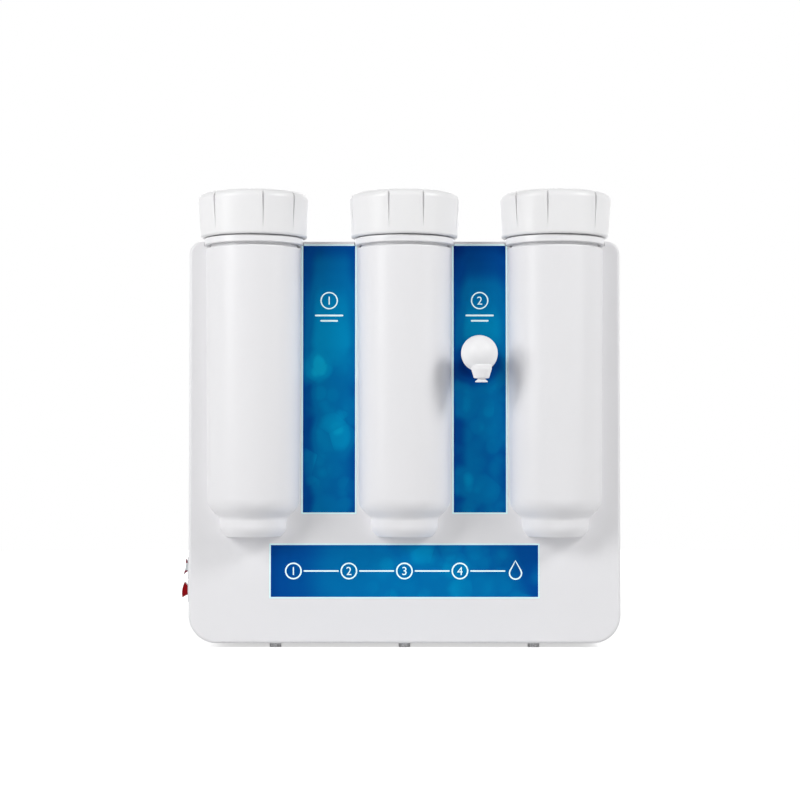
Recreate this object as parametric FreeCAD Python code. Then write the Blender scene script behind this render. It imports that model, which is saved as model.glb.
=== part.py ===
"""Bench ultrapure water system: three screw-capped filter canisters stand in half-round bays of a
moulded front cover, with a turning ball tap between the middle and right ones.

Frame: millimetres, +Z up, +X to the right as seen from the front, +Y to the back. The origin is on the
bench, at the centre of the middle front foot. Each physical piece is written to parts/NAME.step."""

import FreeCAD
import Part
import math
import os

V = FreeCAD.Vector
X_AXIS = V(1, 0, 0)
Y_AXIS = V(0, 1, 0)
Z_AXIS = V(0, 0, 1)
ZERO = V(0, 0, 0)

# ---------------------------------------------------------------- housing
BODY_WIDTH = 405.0
BODY_HEIGHT = 377.3
BODY_DEPTH = 190.0
COVER_DEPTH = 64.0  # of the front cover
WALL = 3.0  # wall of both mouldings
TOP_CORNER = 12.0
BOTTOM_CORNER = 26.0
EDGE_ROUND = 3.0  # rounding of the front and rear rims
TONGUE_LENGTH = 5.0  # lip of the cover that centres the rear shell
TONGUE_THICKNESS = 1.5
TONGUE_BITE = 0.5  # how far its root is sunk in the cover's wall
JOINT_GAP = 0.25  # clearance between fixed pieces that slide together
TURN_GAP = 0.3  # clearance between pieces that move past each other
BEARING_GAP = 0.08  # radial clearance of a shaft in its bearing
CUT_OVER = 1.0  # how far a cutting form runs out past the face that it opens

# ---------------------------------------------------------------- feet
FOOT_HEIGHT = 4.2
FOOT_RADIUS = 5.5
FOOT_PITCH = 121.5  # sideways, from the middle foot
FOOT_INSET = 14.0  # foot centre from the front and rear faces
FOOT_FLUTES = 12
FOOT_FLUTE_RADIUS = 0.9
FOOT_STEM_RADIUS = 2.5

# ---------------------------------------------------------------- bays and canisters
SIDES = ("left", "middle", "right")
PITCH = 141.5  # from canister to canister
BAY_TOP_RADIUS = 44.7
BAY_LOW_RADIUS = 43.1
NOSE_TOP_RADIUS = 31.4
NOSE_LOW_RADIUS = 30.9
NOSE_FOOT_RADIUS = 26.0
BAY_TOP_DROP = 7.1  # bay rim below the top of the housing
SHOULDER_DROP = 249.6  # shoulder of the bay below the top of the housing
SHOULDER_HEIGHT = 10.2
SHOULDER_ROUND = 16.0
SHOULDER_SHARE = 0.4  # rise of the shoulder inside, for each millimetre drawn in
NOSE_HEIGHT = 11.3
NOSE_CHAMFER = 6.3
NOSE_ROUND = 11.0
NOSE_NECK_ROUND = 5.0  # hollow between shoulder and nose
NOSE_EDGE = 2.0
PORT_RADIUS = 3.8  # holes for the rear fittings
BAY_WALL = 2.8
BAY_GAP = 1.2  # between bay and canister
SEAT_GAP = 0.6  # round the flange in its seat
CANISTER_WALL = 3.2
SEAT_DEPTH = 4.5  # recess in the housing top that takes the canister flange
SEAT_LEDGE = 4.5  # material under the recess
FLANGE_RADIUS = 46.5
FLANGE_HEIGHT = 6.2
FLANGE_EDGE = 0.8
NECK_RADIUS = 40.0
NECK_HEIGHT = 30.0
NECK_BORE = 37.5

# ---------------------------------------------------------------- screw caps and lids
CAP_HEIGHT = 41.3
CAP_TOP_RADIUS = 52.8
CAP_LOW_RADIUS = 50.2
CAP_TOP_ROUND = 7.0
CAP_LOW_ROUND = 2.2
CAP_CAVITY_RADIUS = 44.0
CAP_CAVITY_ROUND = 1.5
CAP_SKIRT_GAP = 0.9  # cap rim above the canister flange
CAP_DISH_RADIUS = 37.0
CAP_DISH_DEPTH = 1.6
WIDE_LOBE = 54.0  # degrees; wide and narrow grips alternate round the cap
LOBE_PAIRS = 4
GROOVE_DEPTH = 3.6
GROOVE_HALF_WIDTH = 0.9  # between the rounded lips
GROOVE_LIP = 1.5
GROOVE_LENGTH = 37.0
GROOVE_RUN_OUT = 0.3  # scale of the groove where it leaves the surface
CAP_TURNS = {"left": 31.5, "middle": 2.0, "right": -29.0}  # middle of a narrow grip, from the front
THREAD_PITCH = 6.0
THREAD_DEPTH = 2.8
THREAD_BASE = 3.6
THREAD_CREST = 1.6
THREAD_START = 8.0  # first turn above the flange
NECK_THREAD_TURNS = 2.5
CAP_THREAD_TURNS = 2.0
THREAD_BITE = 0.4  # how far a ridge is rooted in its wall
LID_FLANGE_HEIGHT = 3.2
LID_FLANGE_RADIUS = 39.4
LID_DEPTH = 16.0
LID_WALL = 3.0
LID_LEAD_IN = 1.0
LID_EDGE = 0.6
LID_BOSS_RADIUS = 8.0
LID_BOSS_HEIGHT = 3.0
LID_POST_RADIUS = 12.0
SEAL_SECTION = 1.5  # section radius of the lid's O-ring
SEAL_DROP = 8.0  # O-ring centre below the lid flange

# ---------------------------------------------------------------- cartridges
CARTRIDGE_LENGTH = 248.0
CARTRIDGE_RAISE = 4.0  # lower end cap above the shoulder
CARTRIDGE_CORE = 14.0
CARTRIDGE_CAP_HEIGHT = 12.0
CARTRIDGE_CAP_RIM = 4.0
CARTRIDGE_SPIGOT = 14.0
SOCKET_WALL = 3.0
SOCKET_HEIGHT = 12.0
MEDIA = {"left": ("sediment", 31.5), "middle": ("carbon", 32.5), "right": ("resin", 33.0)}  # name, radius
CAP_OVERHANG = 0.8  # end caps stand proud of the media

# ---------------------------------------------------------------- printed panels
PANEL_FILM = 0.3
PANEL_SIDE_GAP = 0.25  # to the bays, where they are widest
TALL_PANEL_TOP = 2.9  # below the top of the housing
TALL_PANEL_HEIGHT = 253.3
BANNER_WIDTH = 253.0
BANNER_TOP = 93.3  # above the underside of the housing
BANNER_HEIGHT = 51.2

# ---------------------------------------------------------------- tap
TAP_HEIGHT = 269.4  # tap axis above the underside of the housing
TAP_REACH = 42.0  # ball centre in front of the panel
BALL_RADIUS = 16.85
BALL_SIDE = 1.7  # ball centre left of the tap's axis
SLEEVE_WALL = 3.0
ROSE_RADIUS = 13.0
ROSE_HEIGHT = 3.0
STEM_RADIUS = 8.0
STEM_END = 5.0  # end of the stem behind the ball's centre
SHANK_RADIUS = 6.0
SHANK_LENGTH = 22.0
TAP_WATERWAY = 2.5
TAP_NUT_FLATS = 19.0
TAP_NUT_HEIGHT = 5.0
TAP_WASHER_HEIGHT = 1.5
SPOUT_FORWARD = 5.0  # spout axis in front of the ball's centre
SPOUT_TOP_RADIUS = 9.4
SPOUT_LOW_RADIUS = 6.9
SPOUT_TOP_DROP = 10.4
SPOUT_TOP_EDGE = 0.8
SPOUT_LOW_EDGE = 1.2
SPOUT_COLLAR = 4.5  # straight part at the spout's top
SPOUT_FOOT_DROP = 23.1
SPIGOT_RADIUS = 3.2  # nozzle spigot in the spout
SPIGOT_LENGTH = 6.0
NOZZLE_NECK_RADIUS = 3.6
NOZZLE_LIP_RADIUS = 5.8
NOZZLE_LIP_EDGE = 0.9
NOZZLE_ROUND = 0.3
NOZZLE_DROP = 3.6
NOZZLE_BORE = 2.2
TAP_RING_SECTION = 1.0
TAP_RING_MARGIN = 3.0  # first ring from the stem's end
TAP_RING_PITCH = 4.0

# ---------------------------------------------------------------- rocker switches on the left wall
SWITCH_HEIGHTS = {"power": 69.8, "pump": 47.9}  # above the underside of the housing
SWITCH_SETBACK = 22.0  # behind the front face
BEZEL_HEIGHT = 21.0
BEZEL_WIDTH = 15.0
BEZEL_THICKNESS = 2.0
SWITCH_BODY_HEIGHT = 19.0
SWITCH_BODY_WIDTH = 12.8
SWITCH_BODY_DEPTH = 15.0
ROCKER_LENGTH = 14.4
ROCKER_WAIST = 8.6  # where its ends begin
ROCKER_WIDTH = 9.4
ROCKER_TILT = 8.0
ROCKER_REACHES = {"power": 4.4, "pump": 7.6}  # rocker face beyond the wall, at its pivot line
ROCKER_RISES = {"power": 1.0, "pump": -1.2}  # ends beyond the middle: one face is hollow, one crowned
ROCKER_LIFT = 0.8  # waist beyond the bezel, so that the ends clear it when the rocker tips
ROCKER_TOE = 3.0  # how far it reaches in behind its pivot
PIVOT_DEPTH = 1.5  # pivot line inside the wall
ROCKER_PIN = 1.5
PIN_LENGTH = 11.2
WELL_GAP = 1.0  # between rocker and well, end to end
BLADE_SIZE = (8.0, 4.8, 0.8)
BLADE_SPACING = 9.0

# ---------------------------------------------------------------- chassis
SHEET = 1.5
PLATE_SETBACK = 59.0  # upright plate behind the front face
PLATE_TOP_GAP = 14.0
COVER_BOSS_RADIUS = 5.0
LOW_BOSS_INSET = 37.5  # from either side; the upper bosses stand between the bays
COVER_BOSS_HEIGHTS = (30.0, 348.0)  # above underside
POST_INSET = 34.5  # from either side
POST_HEIGHTS = (60.0, 340.0)  # above underside
POST_RADIUS = 5.0
SCREW_RADIUS = 2.0
SCREW_HEAD_RADIUS = 3.8
SCREW_HEAD_HEIGHT = 2.4
SCREW_LENGTH = 10.0
SCREW_SLOT = 0.9
SADDLE_HEIGHT = 10.0
SADDLE_HALF_WIDTH = 20.0
SADDLE_GAP = 1.0  # above the outlet fitting
SADDLE_REACH = 6.0  # how far it reaches round the canister

# ---------------------------------------------------------------- rear wall
VENT_COUNT = 9
VENT_PITCH = 8.0
VENT_WIDTH = 2.6
VENT_LENGTH = 62.0
VENT_HEIGHT = 290.0  # top slot above the underside
UNION_INSETS = {"feed": 52.5, "waste": 84.5, "product": 116.5}  # from the left side
UNION_HEIGHT = 120.0
UNION_RADIUS = 7.0
UNION_FLANGE_RADIUS = 9.5
UNION_FLANGE_HEIGHT = 3.0
UNION_REACH = 15.0
UNION_INSIDE = 22.0
TUBE_RADIUS = 3.175
TUBE_BORE = 2.0
TUBE_HOLE_RADIUS = 6.4  # holes in the upright plate
PUSH_FIT_BORE = 3.3
UNION_NUT_FLATS = 20.0
UNION_NUT_HEIGHT = 6.0
COLLET_RADIUS = 5.2
COLLET_LIP = 2.0
INLET_INSET = 52.5  # from the right side
INLET_HEIGHT = 45.0
INLET_FLANGE = (32.0, 25.0, 3.0)
INLET_BODY = (27.4, 20.0, 18.0)
INLET_CAVITY = (24.4, 16.6, 15.0)
INLET_PIN = (2.0, 4.0, 10.5)
INLET_TAG = 12.0  # pin behind the cavity's floor
INLET_PIN_PITCH = 7.0
INLET_PIN_RAISE = 2.0  # middle pin above, outer pins below the centre
KEYHOLE_X = 120.0
KEYHOLE_HEIGHT = 338.0
KEYHOLE_RADIUS = 4.6
KEYHOLE_SLOT = 2.4
KEYHOLE_RISE = 9.0

# ---------------------------------------------------------------- working parts behind the plate
PUMP_X = -84.0  # face between motor and head
PUMP_BACKSET = 46.5  # axis behind the upright plate
PUMP_AXIS_HEIGHT = 51.0  # above the base sheet
MOTOR_RADIUS = 36.0
MOTOR_LENGTH = 72.0
MOTOR_WALL = 2.0
BEARING_PLATE = 3.0
PUMP_HEAD_RADIUS = 44.0
PUMP_HEAD_LENGTH = 40.0
PUMP_CAP_LENGTH = 14.0
PUMP_WALL = 5.0
PUMP_PORT_SPACING = 36.0
PUMP_PORT_RAISE = 14.0
PUMP_FOOT_LENGTH = 60.0
PUMP_FOOT_WIDTH = 66.0
GROMMET_RADIUS = 6.0
GROMMET_HEIGHT = 8.0
ROTOR_SHAFT_RADIUS = 4.0
ECCENTRIC_RADIUS = 14.0
ECCENTRIC_WIDTH = 12.0
ECCENTRIC_OFFSET = 2.5
VESSEL_RADIUS = 31.0
VESSEL_WALL = 4.0
VESSEL_LENGTH = 262.0
VESSEL_BACKSET = 64.5
VESSEL_HEIGHT = 305.0  # axis above the underside
VESSEL_CAP_RADIUS = 35.0
VESSEL_CAP_LENGTH = 26.0
VESSEL_CAP_FLOOR = 6.0
MEMBRANE_RADIUS = 22.5
MEMBRANE_CORE = 8.0
MEMBRANE_SEAL = 8.0
MEMBRANE_SEAL_MARGIN = 30.0
CLIP_THICKNESS = 2.0
CLIP_WIDTH = 18.0
CLIP_SPACING = 150.0
CLIP_MOUTH = 26.0
VALVE_XS = {"feed": 20.0, "flush": 112.0}  # solenoid valves
VALVE_INSET = 19.5  # axis in front of the rear wall
VALVE_BLOCK = (30.0, 22.0, 22.0)
VALVE_STANDOFF = 6.0
VALVE_LEG = 6.0
COIL_RADIUS = 13.0
COIL_HEIGHT = 30.0
GUIDE_RADIUS = 6.0
GUIDE_PROUD = 2.6  # above the coil
PLUNGER_RADIUS = 4.4
PLUNGER_LENGTH = 20.0
PLUNGER_TRAVEL = 2.5
PLUNGER_SEAT = 2.5  # below the top of the valve block
SUPPLY_SIZE = (98.0, 36.0, 82.0)
SUPPLY_INSET = 92.0  # its middle from the right side
SUPPLY_BACKSET = 4.0  # case behind the upright plate
TERMINAL_ROOM = 12.0
TERMINAL_STEP = 12.0
TERMINAL_HEIGHT = 54.0
SUPPLY_WALL = 3.0
BOARD_SIZE = (104.0, 74.0, 1.6)
BOARD_AT = (70.0, 190.0)  # x and height above the underside
BOARD_MARGIN = 5.0
BOARD_TERMINAL = (24.0, 10.0, 9.0)
TERMINAL_GAP = 4.0
TRANSFORMER = (28.0, 16.0, 20.0)
CAPACITOR_RADIUS = 6.0
CAPACITOR_HEIGHT = 14.0
STANDOFF_HEIGHT = 8.0
STANDOFF_RADIUS = 4.0
PIN_PROUD = 2.0
SENSOR_AT = (-38.0, 190.0)  # x and height above the underside
SENSOR_BLOCK = (30.0, 18.0, 22.0)
DIAPHRAGM_RADIUS = 14.0
DIAPHRAGM_HEIGHT = 11.0
MICROSWITCH = (12.0, 14.0, 16.0)
PORT_STUB = 14.0
TUBE_INSERT = 8.0  # tube end inside its port
TUBE_BEND_SHARE = 0.45  # of the shorter run beside a bend
TUBE_NEAR = 28.0  # tubes behind the plate, nearer run
TUBE_MIDDLE = 45.0  # and the run behind it
TUBE_CLEAR = 20.0
TUBE_SIDE_ROOM = 20.0  # between side run and the housing's side

# ---------------------------------------------------------------- places worked out from the sizes
PANEL_Y = -FOOT_INSET
BACK_Y = PANEL_Y + BODY_DEPTH
SEAM_Y = PANEL_Y + COVER_DEPTH
BASE_Z = FOOT_HEIGHT
TOP_Z = FOOT_HEIGHT + BODY_HEIGHT
HALF_WIDTH = BODY_WIDTH / 2
FLOOR_Z = BASE_Z + WALL  # inside of the bottom wall
SEAT_Z = TOP_Z - SEAT_DEPTH
FLANGE_TOP_Z = SEAT_Z + FLANGE_HEIGHT
NECK_TOP_Z = FLANGE_TOP_Z + NECK_HEIGHT
CAP_LOW_Z = FLANGE_TOP_Z + CAP_SKIRT_GAP
CAP_TOP_Z = CAP_LOW_Z + CAP_HEIGHT
LID_LOW_Z = NECK_TOP_Z + TURN_GAP
LID_TOP_Z = LID_LOW_Z + LID_FLANGE_HEIGHT
CANISTER_XS = {side: (k - 1) * PITCH for k, side in enumerate(SIDES)}
CANISTER_OFFSET = BAY_WALL + BAY_GAP
INNER_OFFSET = CANISTER_OFFSET + CANISTER_WALL
NOSE_FOOT_Z = TOP_Z - SHOULDER_DROP - SHOULDER_HEIGHT - NOSE_HEIGHT - NOSE_CHAMFER
CARTRIDGE_LOW_Z = TOP_Z - SHOULDER_DROP + CARTRIDGE_RAISE
CARTRIDGE_TOP_Z = CARTRIDGE_LOW_Z + CARTRIDGE_LENGTH
PLATE_Y = PANEL_Y + PLATE_SETBACK
PLATE_BACK_Y = PLATE_Y + SHEET
PLATE_HALF_WIDTH = HALF_WIDTH - BOTTOM_CORNER - JOINT_GAP
TALL_PANEL_WIDTH = PITCH - 2 * (BAY_TOP_RADIUS + PANEL_SIDE_GAP)
SHEET_TOP_Z = FLOOR_Z + SHEET
TAP_X = PITCH / 2
TAP_Y = PANEL_Y - TAP_REACH
TAP_Z = BASE_Z + TAP_HEIGHT
SPOUT_Y = TAP_Y - SPOUT_FORWARD
SHANK_Y = PANEL_Y - PANEL_FILM - ROSE_HEIGHT  # front of the rose and start of the shank
STEM_Y = TAP_Y + STEM_END
INLET_PORT_Z = SEAT_Z - SEAT_LEDGE - 2 * UNION_RADIUS  # upper port of a canister
OUTLET_PORT_Z = NOSE_FOOT_Z + CANISTER_OFFSET + UNION_RADIUS  # lower port, in its nose
FITTING_END_Y = PLATE_Y - JOINT_GAP
PORT_DEPTH = TUBE_INSERT + JOINT_GAP
SEAL_RADIUS = NECK_BORE - TURN_GAP - SEAL_SECTION
PUMP_AXIS = V(PUMP_X, PLATE_BACK_Y + PUMP_BACKSET, SHEET_TOP_Z + PUMP_AXIS_HEIGHT)
VESSEL_Y = PLATE_BACK_Y + VESSEL_BACKSET
VESSEL_Z = BASE_Z + VESSEL_HEIGHT
VALVE_Y = BACK_Y - WALL - VALVE_INSET
UNION_Z = BASE_Z + UNION_HEIGHT
INLET_Z = BASE_Z + INLET_HEIGHT
UNION_XS = {name: inset - HALF_WIDTH for name, inset in UNION_INSETS.items()}
INLET_X = HALF_WIDTH - INLET_INSET
SUPPLY_X = HALF_WIDTH - SUPPLY_INSET
COVER_BOSS_XS = (HALF_WIDTH - LOW_BOSS_INSET, PITCH / 2)
COVER_BOSSES = [(side * x, height) for x, height in zip(COVER_BOSS_XS, COVER_BOSS_HEIGHTS)
                for side in (-1, 1)]
POSTS = [(side * (HALF_WIDTH - POST_INSET), height) for height in POST_HEIGHTS for side in (-1, 1)]


# ---------------------------------------------------------------- drawing helpers
def rounded_wire(corners):
    """Closed wire in the XZ plane through (x, z, radius) corners, each rounded by a tangent arc."""
    points = [V(x, 0, z) for x, z, _ in corners]
    count = len(points)
    joins = []
    for k, (_, _, radius) in enumerate(corners):
        here = points[k]
        if radius == 0:
            joins.append((here, None, here))
            continue
        back = (points[k - 1] - here).normalize()
        ahead = (points[(k + 1) % count] - here).normalize()
        half = back.getAngle(ahead) / 2
        reach = radius / math.tan(half)
        inward = (back + ahead).normalize()
        middle = here + inward * (radius / math.sin(half) - radius)
        joins.append((here + back * reach, middle, here + ahead * reach))
    edges = []
    for k, (start, middle, end) in enumerate(joins):
        if middle is not None:
            edges.append(Part.Arc(start, middle, end).toShape())
        following = joins[(k + 1) % count][0]
        if end.distanceToPoint(following) > 1e-6:
            edges.append(Part.LineSegment(end, following).toShape())
    return Part.Wire(edges)


def turned(corners):
    """Solid of revolution about Z from (radius, z, rounding) corners."""
    return Part.Face(rounded_wire(corners)).revolve(ZERO, Z_AXIS, 360)


def box(centre_x, centre_y, low_z, width, depth, height):
    """Box standing on low_z, centred sideways."""
    return Part.makeBox(width, depth, height, V(centre_x - width / 2, centre_y - depth / 2, low_z))


def rod(radius, length, start, direction):
    """Round bar from start along direction."""
    return Part.makeCylinder(radius, length, start, direction)


def ring(outer, inner, length, start, direction):
    """Tube from start along direction."""
    return rod(outer, length, start, direction).cut(rod(inner, length, start, direction))


def hexagon_nut(flats, height, bolt_radius, start):
    """Hexagon nut along +Y from start, on a threaded bar of bolt_radius."""
    radius = flats / math.sqrt(3)
    turns = [k * math.pi / 3 for k in range(7)]
    corners = [V(radius * math.cos(turn), 0, radius * math.sin(turn)) for turn in turns]
    nut = Part.Face(Part.makePolygon(corners)).extrude(V(0, height, 0))
    return nut.cut(rod(bolt_radius, height, ZERO, Y_AXIS)).translated(start)


def aimed(shape, direction):
    """Turns a shape made along +Z so that it points along direction."""
    turn = FreeCAD.Rotation(Z_AXIS, direction)
    moved = shape.copy()
    moved.Placement = FreeCAD.Placement(ZERO, turn).multiply(moved.Placement)
    return moved


def fused(shapes):
    """One solid out of touching or overlapping ones."""
    whole = shapes[0]
    for shape in shapes[1:]:
        whole = whole.fuse(shape)
    return whole.removeSplitter()


def save(name, shapes):
    """Writes one named piece, or a group of like pieces, to its own STEP file."""
    group = shapes if isinstance(shapes, list) else [shapes]
    solids = [solid for shape in group for solid in shape.Solids]
    if not solids or not all(solid.isValid() for solid in solids):
        raise ValueError(name + " has no valid solid")
    whole = solids[0] if len(solids) == 1 else Part.makeCompound(solids)
    whole.exportStep(os.path.join("parts", name + ".step"))
    print(name, len(solids), "solids", round(sum(solid.Volume for solid in solids) / 1000, 2), "cm3")


def screw(head_point, direction, length=SCREW_LENGTH):
    """Pan-head screw with a cross slot; direction points into the work."""
    head = turned([
        (0, -SCREW_HEAD_HEIGHT, 0), (SCREW_HEAD_RADIUS, -SCREW_HEAD_HEIGHT, SCREW_HEAD_HEIGHT * 0.6),
        (SCREW_HEAD_RADIUS, 0, 0), (SCREW_RADIUS, 0, 0), (SCREW_RADIUS, length, 0.5), (0, length, 0)])
    long_slot, depth = SCREW_HEAD_RADIUS * 1.3, SCREW_HEAD_HEIGHT / 2
    for width, run in ((long_slot, SCREW_SLOT), (SCREW_SLOT, long_slot)):
        head = head.cut(box(0, 0, -SCREW_HEAD_HEIGHT - 0.1, width, run, depth))
    return aimed(head, direction).translated(head_point)


# ---------------------------------------------------------------- housing
def housing_block(inset, front_y, back_y):
    """Solid with the housing's outline, drawn in from the walls by inset."""
    half = HALF_WIDTH - inset
    low, high = BASE_Z + inset, TOP_Z - inset
    low_round, high_round = max(BOTTOM_CORNER - inset, 1.0), max(TOP_CORNER - inset, 1.0)
    outline = rounded_wire([
        (-half, low, low_round), (half, low, low_round),
        (half, high, high_round), (-half, high, high_round)])
    return Part.Face(outline).extrude(V(0, back_y - front_y, 0)).translated(V(0, front_y, 0))


def rim_rounded(block, rim_y):
    """Rounds the outer rim of a housing block at rim_y."""
    rim = [edge for edge in block.Edges if all(abs(v.Y - rim_y) < 1e-6 for v in edge.Vertexes)]
    return block.makeFillet(EDGE_ROUND, rim)


def bay_form(offset, top_z):
    """Solid of revolution with the form of a bay, drawn in from its outside by offset."""
    shoulder_z = TOP_Z - SHOULDER_DROP + offset * SHOULDER_SHARE
    nose_z = shoulder_z - SHOULDER_HEIGHT
    foot_z = NOSE_FOOT_Z + offset
    return turned([
        (0, foot_z, 0), (NOSE_FOOT_RADIUS - offset, foot_z, NOSE_EDGE),
        (NOSE_LOW_RADIUS - offset, foot_z + NOSE_CHAMFER, NOSE_ROUND),
        (NOSE_TOP_RADIUS - offset, nose_z, NOSE_NECK_ROUND),
        (BAY_LOW_RADIUS - offset, shoulder_z, SHOULDER_ROUND),
        (BAY_TOP_RADIUS - offset, top_z, 0), (0, top_z, 0)])


def switch_places():
    """Centre of each switch opening in the left wall."""
    y = PANEL_Y + SWITCH_SETBACK
    return {name: V(-HALF_WIDTH, y, BASE_Z + height) for name, height in SWITCH_HEIGHTS.items()}


def foot_places():
    """Where the feet stand: three under the front, three under the back."""
    rows = (PANEL_Y + FOOT_INSET, BACK_Y - FOOT_INSET)
    return [V(k * FOOT_PITCH, y, 0) for y in rows for k in (-1, 0, 1)]


def foot_holes():
    """Holes for the stems of the feet, through the bottom walls and the base sheet."""
    radius = FOOT_STEM_RADIUS + JOINT_GAP / 2
    low = V(0, 0, BASE_Z - CUT_OVER)
    return Part.makeCompound([rod(radius, 4 * WALL, place + low, Z_AXIS) for place in foot_places()])


def seat_recess(x):
    """Clearance round a canister's flange."""
    return rod(FLANGE_RADIUS + SEAT_GAP, TOP_Z, V(x, PANEL_Y, SEAT_Z), Z_AXIS)


def front_cover():
    """Moulded cover with three half-round bays, canister seats in its top and screw bosses behind."""
    skin = rim_rounded(housing_block(0, PANEL_Y, SEAM_Y), PANEL_Y)
    cover = skin.cut(housing_block(WALL, PANEL_Y + WALL, SEAM_Y + CUT_OVER))
    tongue = housing_block(WALL + JOINT_GAP, SEAM_Y - WALL, SEAM_Y + TONGUE_LENGTH)
    tongue = tongue.cut(housing_block(WALL + JOINT_GAP + TONGUE_THICKNESS, SEAM_Y - WALL - CUT_OVER, BACK_Y))
    tongue_root = housing_block(WALL - TONGUE_BITE, SEAM_Y - WALL, SEAM_Y).cut(
        housing_block(WALL + JOINT_GAP + TONGUE_THICKNESS, SEAM_Y - WALL - CUT_OVER, BACK_Y))
    clear_of_floor = box(0, SEAM_Y, BASE_Z - CUT_OVER,
                         BODY_WIDTH, 4 * TONGUE_LENGTH, BOTTOM_CORNER + 2 * WALL)
    pieces = [cover, tongue.fuse(tongue_root).cut(clear_of_floor)]
    seat_low = SEAT_Z - SEAT_LEDGE
    in_front = box(0, PANEL_Y - BODY_DEPTH / 2 + WALL / 2, BASE_Z, BODY_WIDTH, BODY_DEPTH, BODY_HEIGHT)
    inside = housing_block(WALL / 2, PANEL_Y + WALL / 2, SEAM_Y)
    for x in CANISTER_XS.values():
        bay = bay_form(0, TOP_Z - BAY_TOP_DROP)
        rim = [e for e in bay.Edges if abs(e.BoundBox.ZMin - (TOP_Z - BAY_TOP_DROP)) < 1e-6]
        bay = bay.makeFillet(BAY_WALL / 2, rim[:1]).translated(V(x, PANEL_Y, 0))
        seat = rod(FLANGE_RADIUS + 2 * WALL, TOP_Z - seat_low, V(x, PANEL_Y, seat_low), Z_AXIS)
        pieces += [bay.common(in_front), seat.common(inside)]
    for x, height in COVER_BOSSES:
        root = V(x, PANEL_Y + WALL / 2, BASE_Z + height)
        pieces.append(rod(COVER_BOSS_RADIUS, PLATE_SETBACK - WALL / 2, root, Y_AXIS))
    cover = fused(pieces)
    for x in CANISTER_XS.values():
        cover = cover.cut(bay_form(BAY_WALL, TOP_Z + CUT_OVER).translated(V(x, PANEL_Y, 0)))
        cover = cover.cut(seat_recess(x))
    for x, height in COVER_BOSSES:
        pilot = V(x, PLATE_Y - SCREW_LENGTH, BASE_Z + height)
        cover = cover.cut(rod(SCREW_RADIUS, SCREW_LENGTH + CUT_OVER, pilot, Y_AXIS))
    cover = cover.cut(rod(SHANK_RADIUS + JOINT_GAP, 2 * WALL, V(TAP_X, PANEL_Y - CUT_OVER, TAP_Z), Y_AXIS))
    for place in switch_places().values():
        depth, height = SWITCH_BODY_WIDTH + 2 * JOINT_GAP, SWITCH_BODY_HEIGHT + 2 * JOINT_GAP
        cover = cover.cut(box(place.x, place.y, place.z - height / 2, 4 * WALL, depth, height))
    return cover.cut(foot_holes())


def rear_shell():
    """Moulded rear half: sides, top, bottom and back, with vents and the cut-outs for what it carries."""
    block = rim_rounded(housing_block(0, SEAM_Y, BACK_Y), BACK_Y)
    shell = block.cut(housing_block(WALL, SEAM_Y - CUT_OVER, BACK_Y - WALL))
    for k in range(VENT_COUNT):
        z = BASE_Z + VENT_HEIGHT - k * VENT_PITCH
        shell = shell.cut(box(0, BACK_Y, z, VENT_LENGTH, 4 * WALL, VENT_WIDTH))
        for side in (-1, 1):
            middle_y = (SEAM_Y + TONGUE_LENGTH + BACK_Y) / 2
            shell = shell.cut(box(side * HALF_WIDTH, middle_y, z, 4 * WALL, VENT_LENGTH, VENT_WIDTH))
    for x, height in POSTS:
        hole = V(x, BACK_Y - 2 * WALL, BASE_Z + height)
        shell = shell.cut(rod(SCREW_RADIUS + JOINT_GAP, 4 * WALL, hole, Y_AXIS))
    for x in UNION_XS.values():
        shell = shell.cut(rod(UNION_RADIUS + JOINT_GAP, 4 * WALL, V(x, BACK_Y - 2 * WALL, UNION_Z), Y_AXIS))
    width, height, _ = INLET_BODY
    shell = shell.cut(box(INLET_X, BACK_Y, INLET_Z - height / 2 - JOINT_GAP,
                          width + 2 * JOINT_GAP, 4 * WALL, height + 2 * JOINT_GAP))
    for side in (-1, 1):
        keyhole = V(side * KEYHOLE_X, BACK_Y - 2 * WALL, BASE_Z + KEYHOLE_HEIGHT)
        shell = shell.cut(rod(KEYHOLE_RADIUS, 4 * WALL, keyhole, Y_AXIS))
        shell = shell.cut(rod(KEYHOLE_SLOT, 4 * WALL, keyhole + V(0, 0, KEYHOLE_RISE), Y_AXIS))
        shell = shell.cut(box(keyhole.x, BACK_Y, keyhole.z, 2 * KEYHOLE_SLOT, 4 * WALL, KEYHOLE_RISE))
    return shell.cut(foot_holes())


def feet():
    """Fluted rubber feet; the stem of each goes through the bottom wall and the base sheet."""
    made = []
    for place in foot_places():
        foot = rod(FOOT_RADIUS, FOOT_HEIGHT, place, Z_AXIS)
        for k in range(FOOT_FLUTES):
            turn = 2 * math.pi * k / FOOT_FLUTES
            edge = place + V(FOOT_RADIUS * math.cos(turn), FOOT_RADIUS * math.sin(turn), -1)
            foot = foot.cut(rod(FOOT_FLUTE_RADIUS, FOOT_HEIGHT + 2, edge, Z_AXIS))
        stem = rod(FOOT_STEM_RADIUS, FOOT_HEIGHT + WALL + SHEET, place, Z_AXIS)
        made.append(foot.fuse(stem).removeSplitter())
    return made


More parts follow.
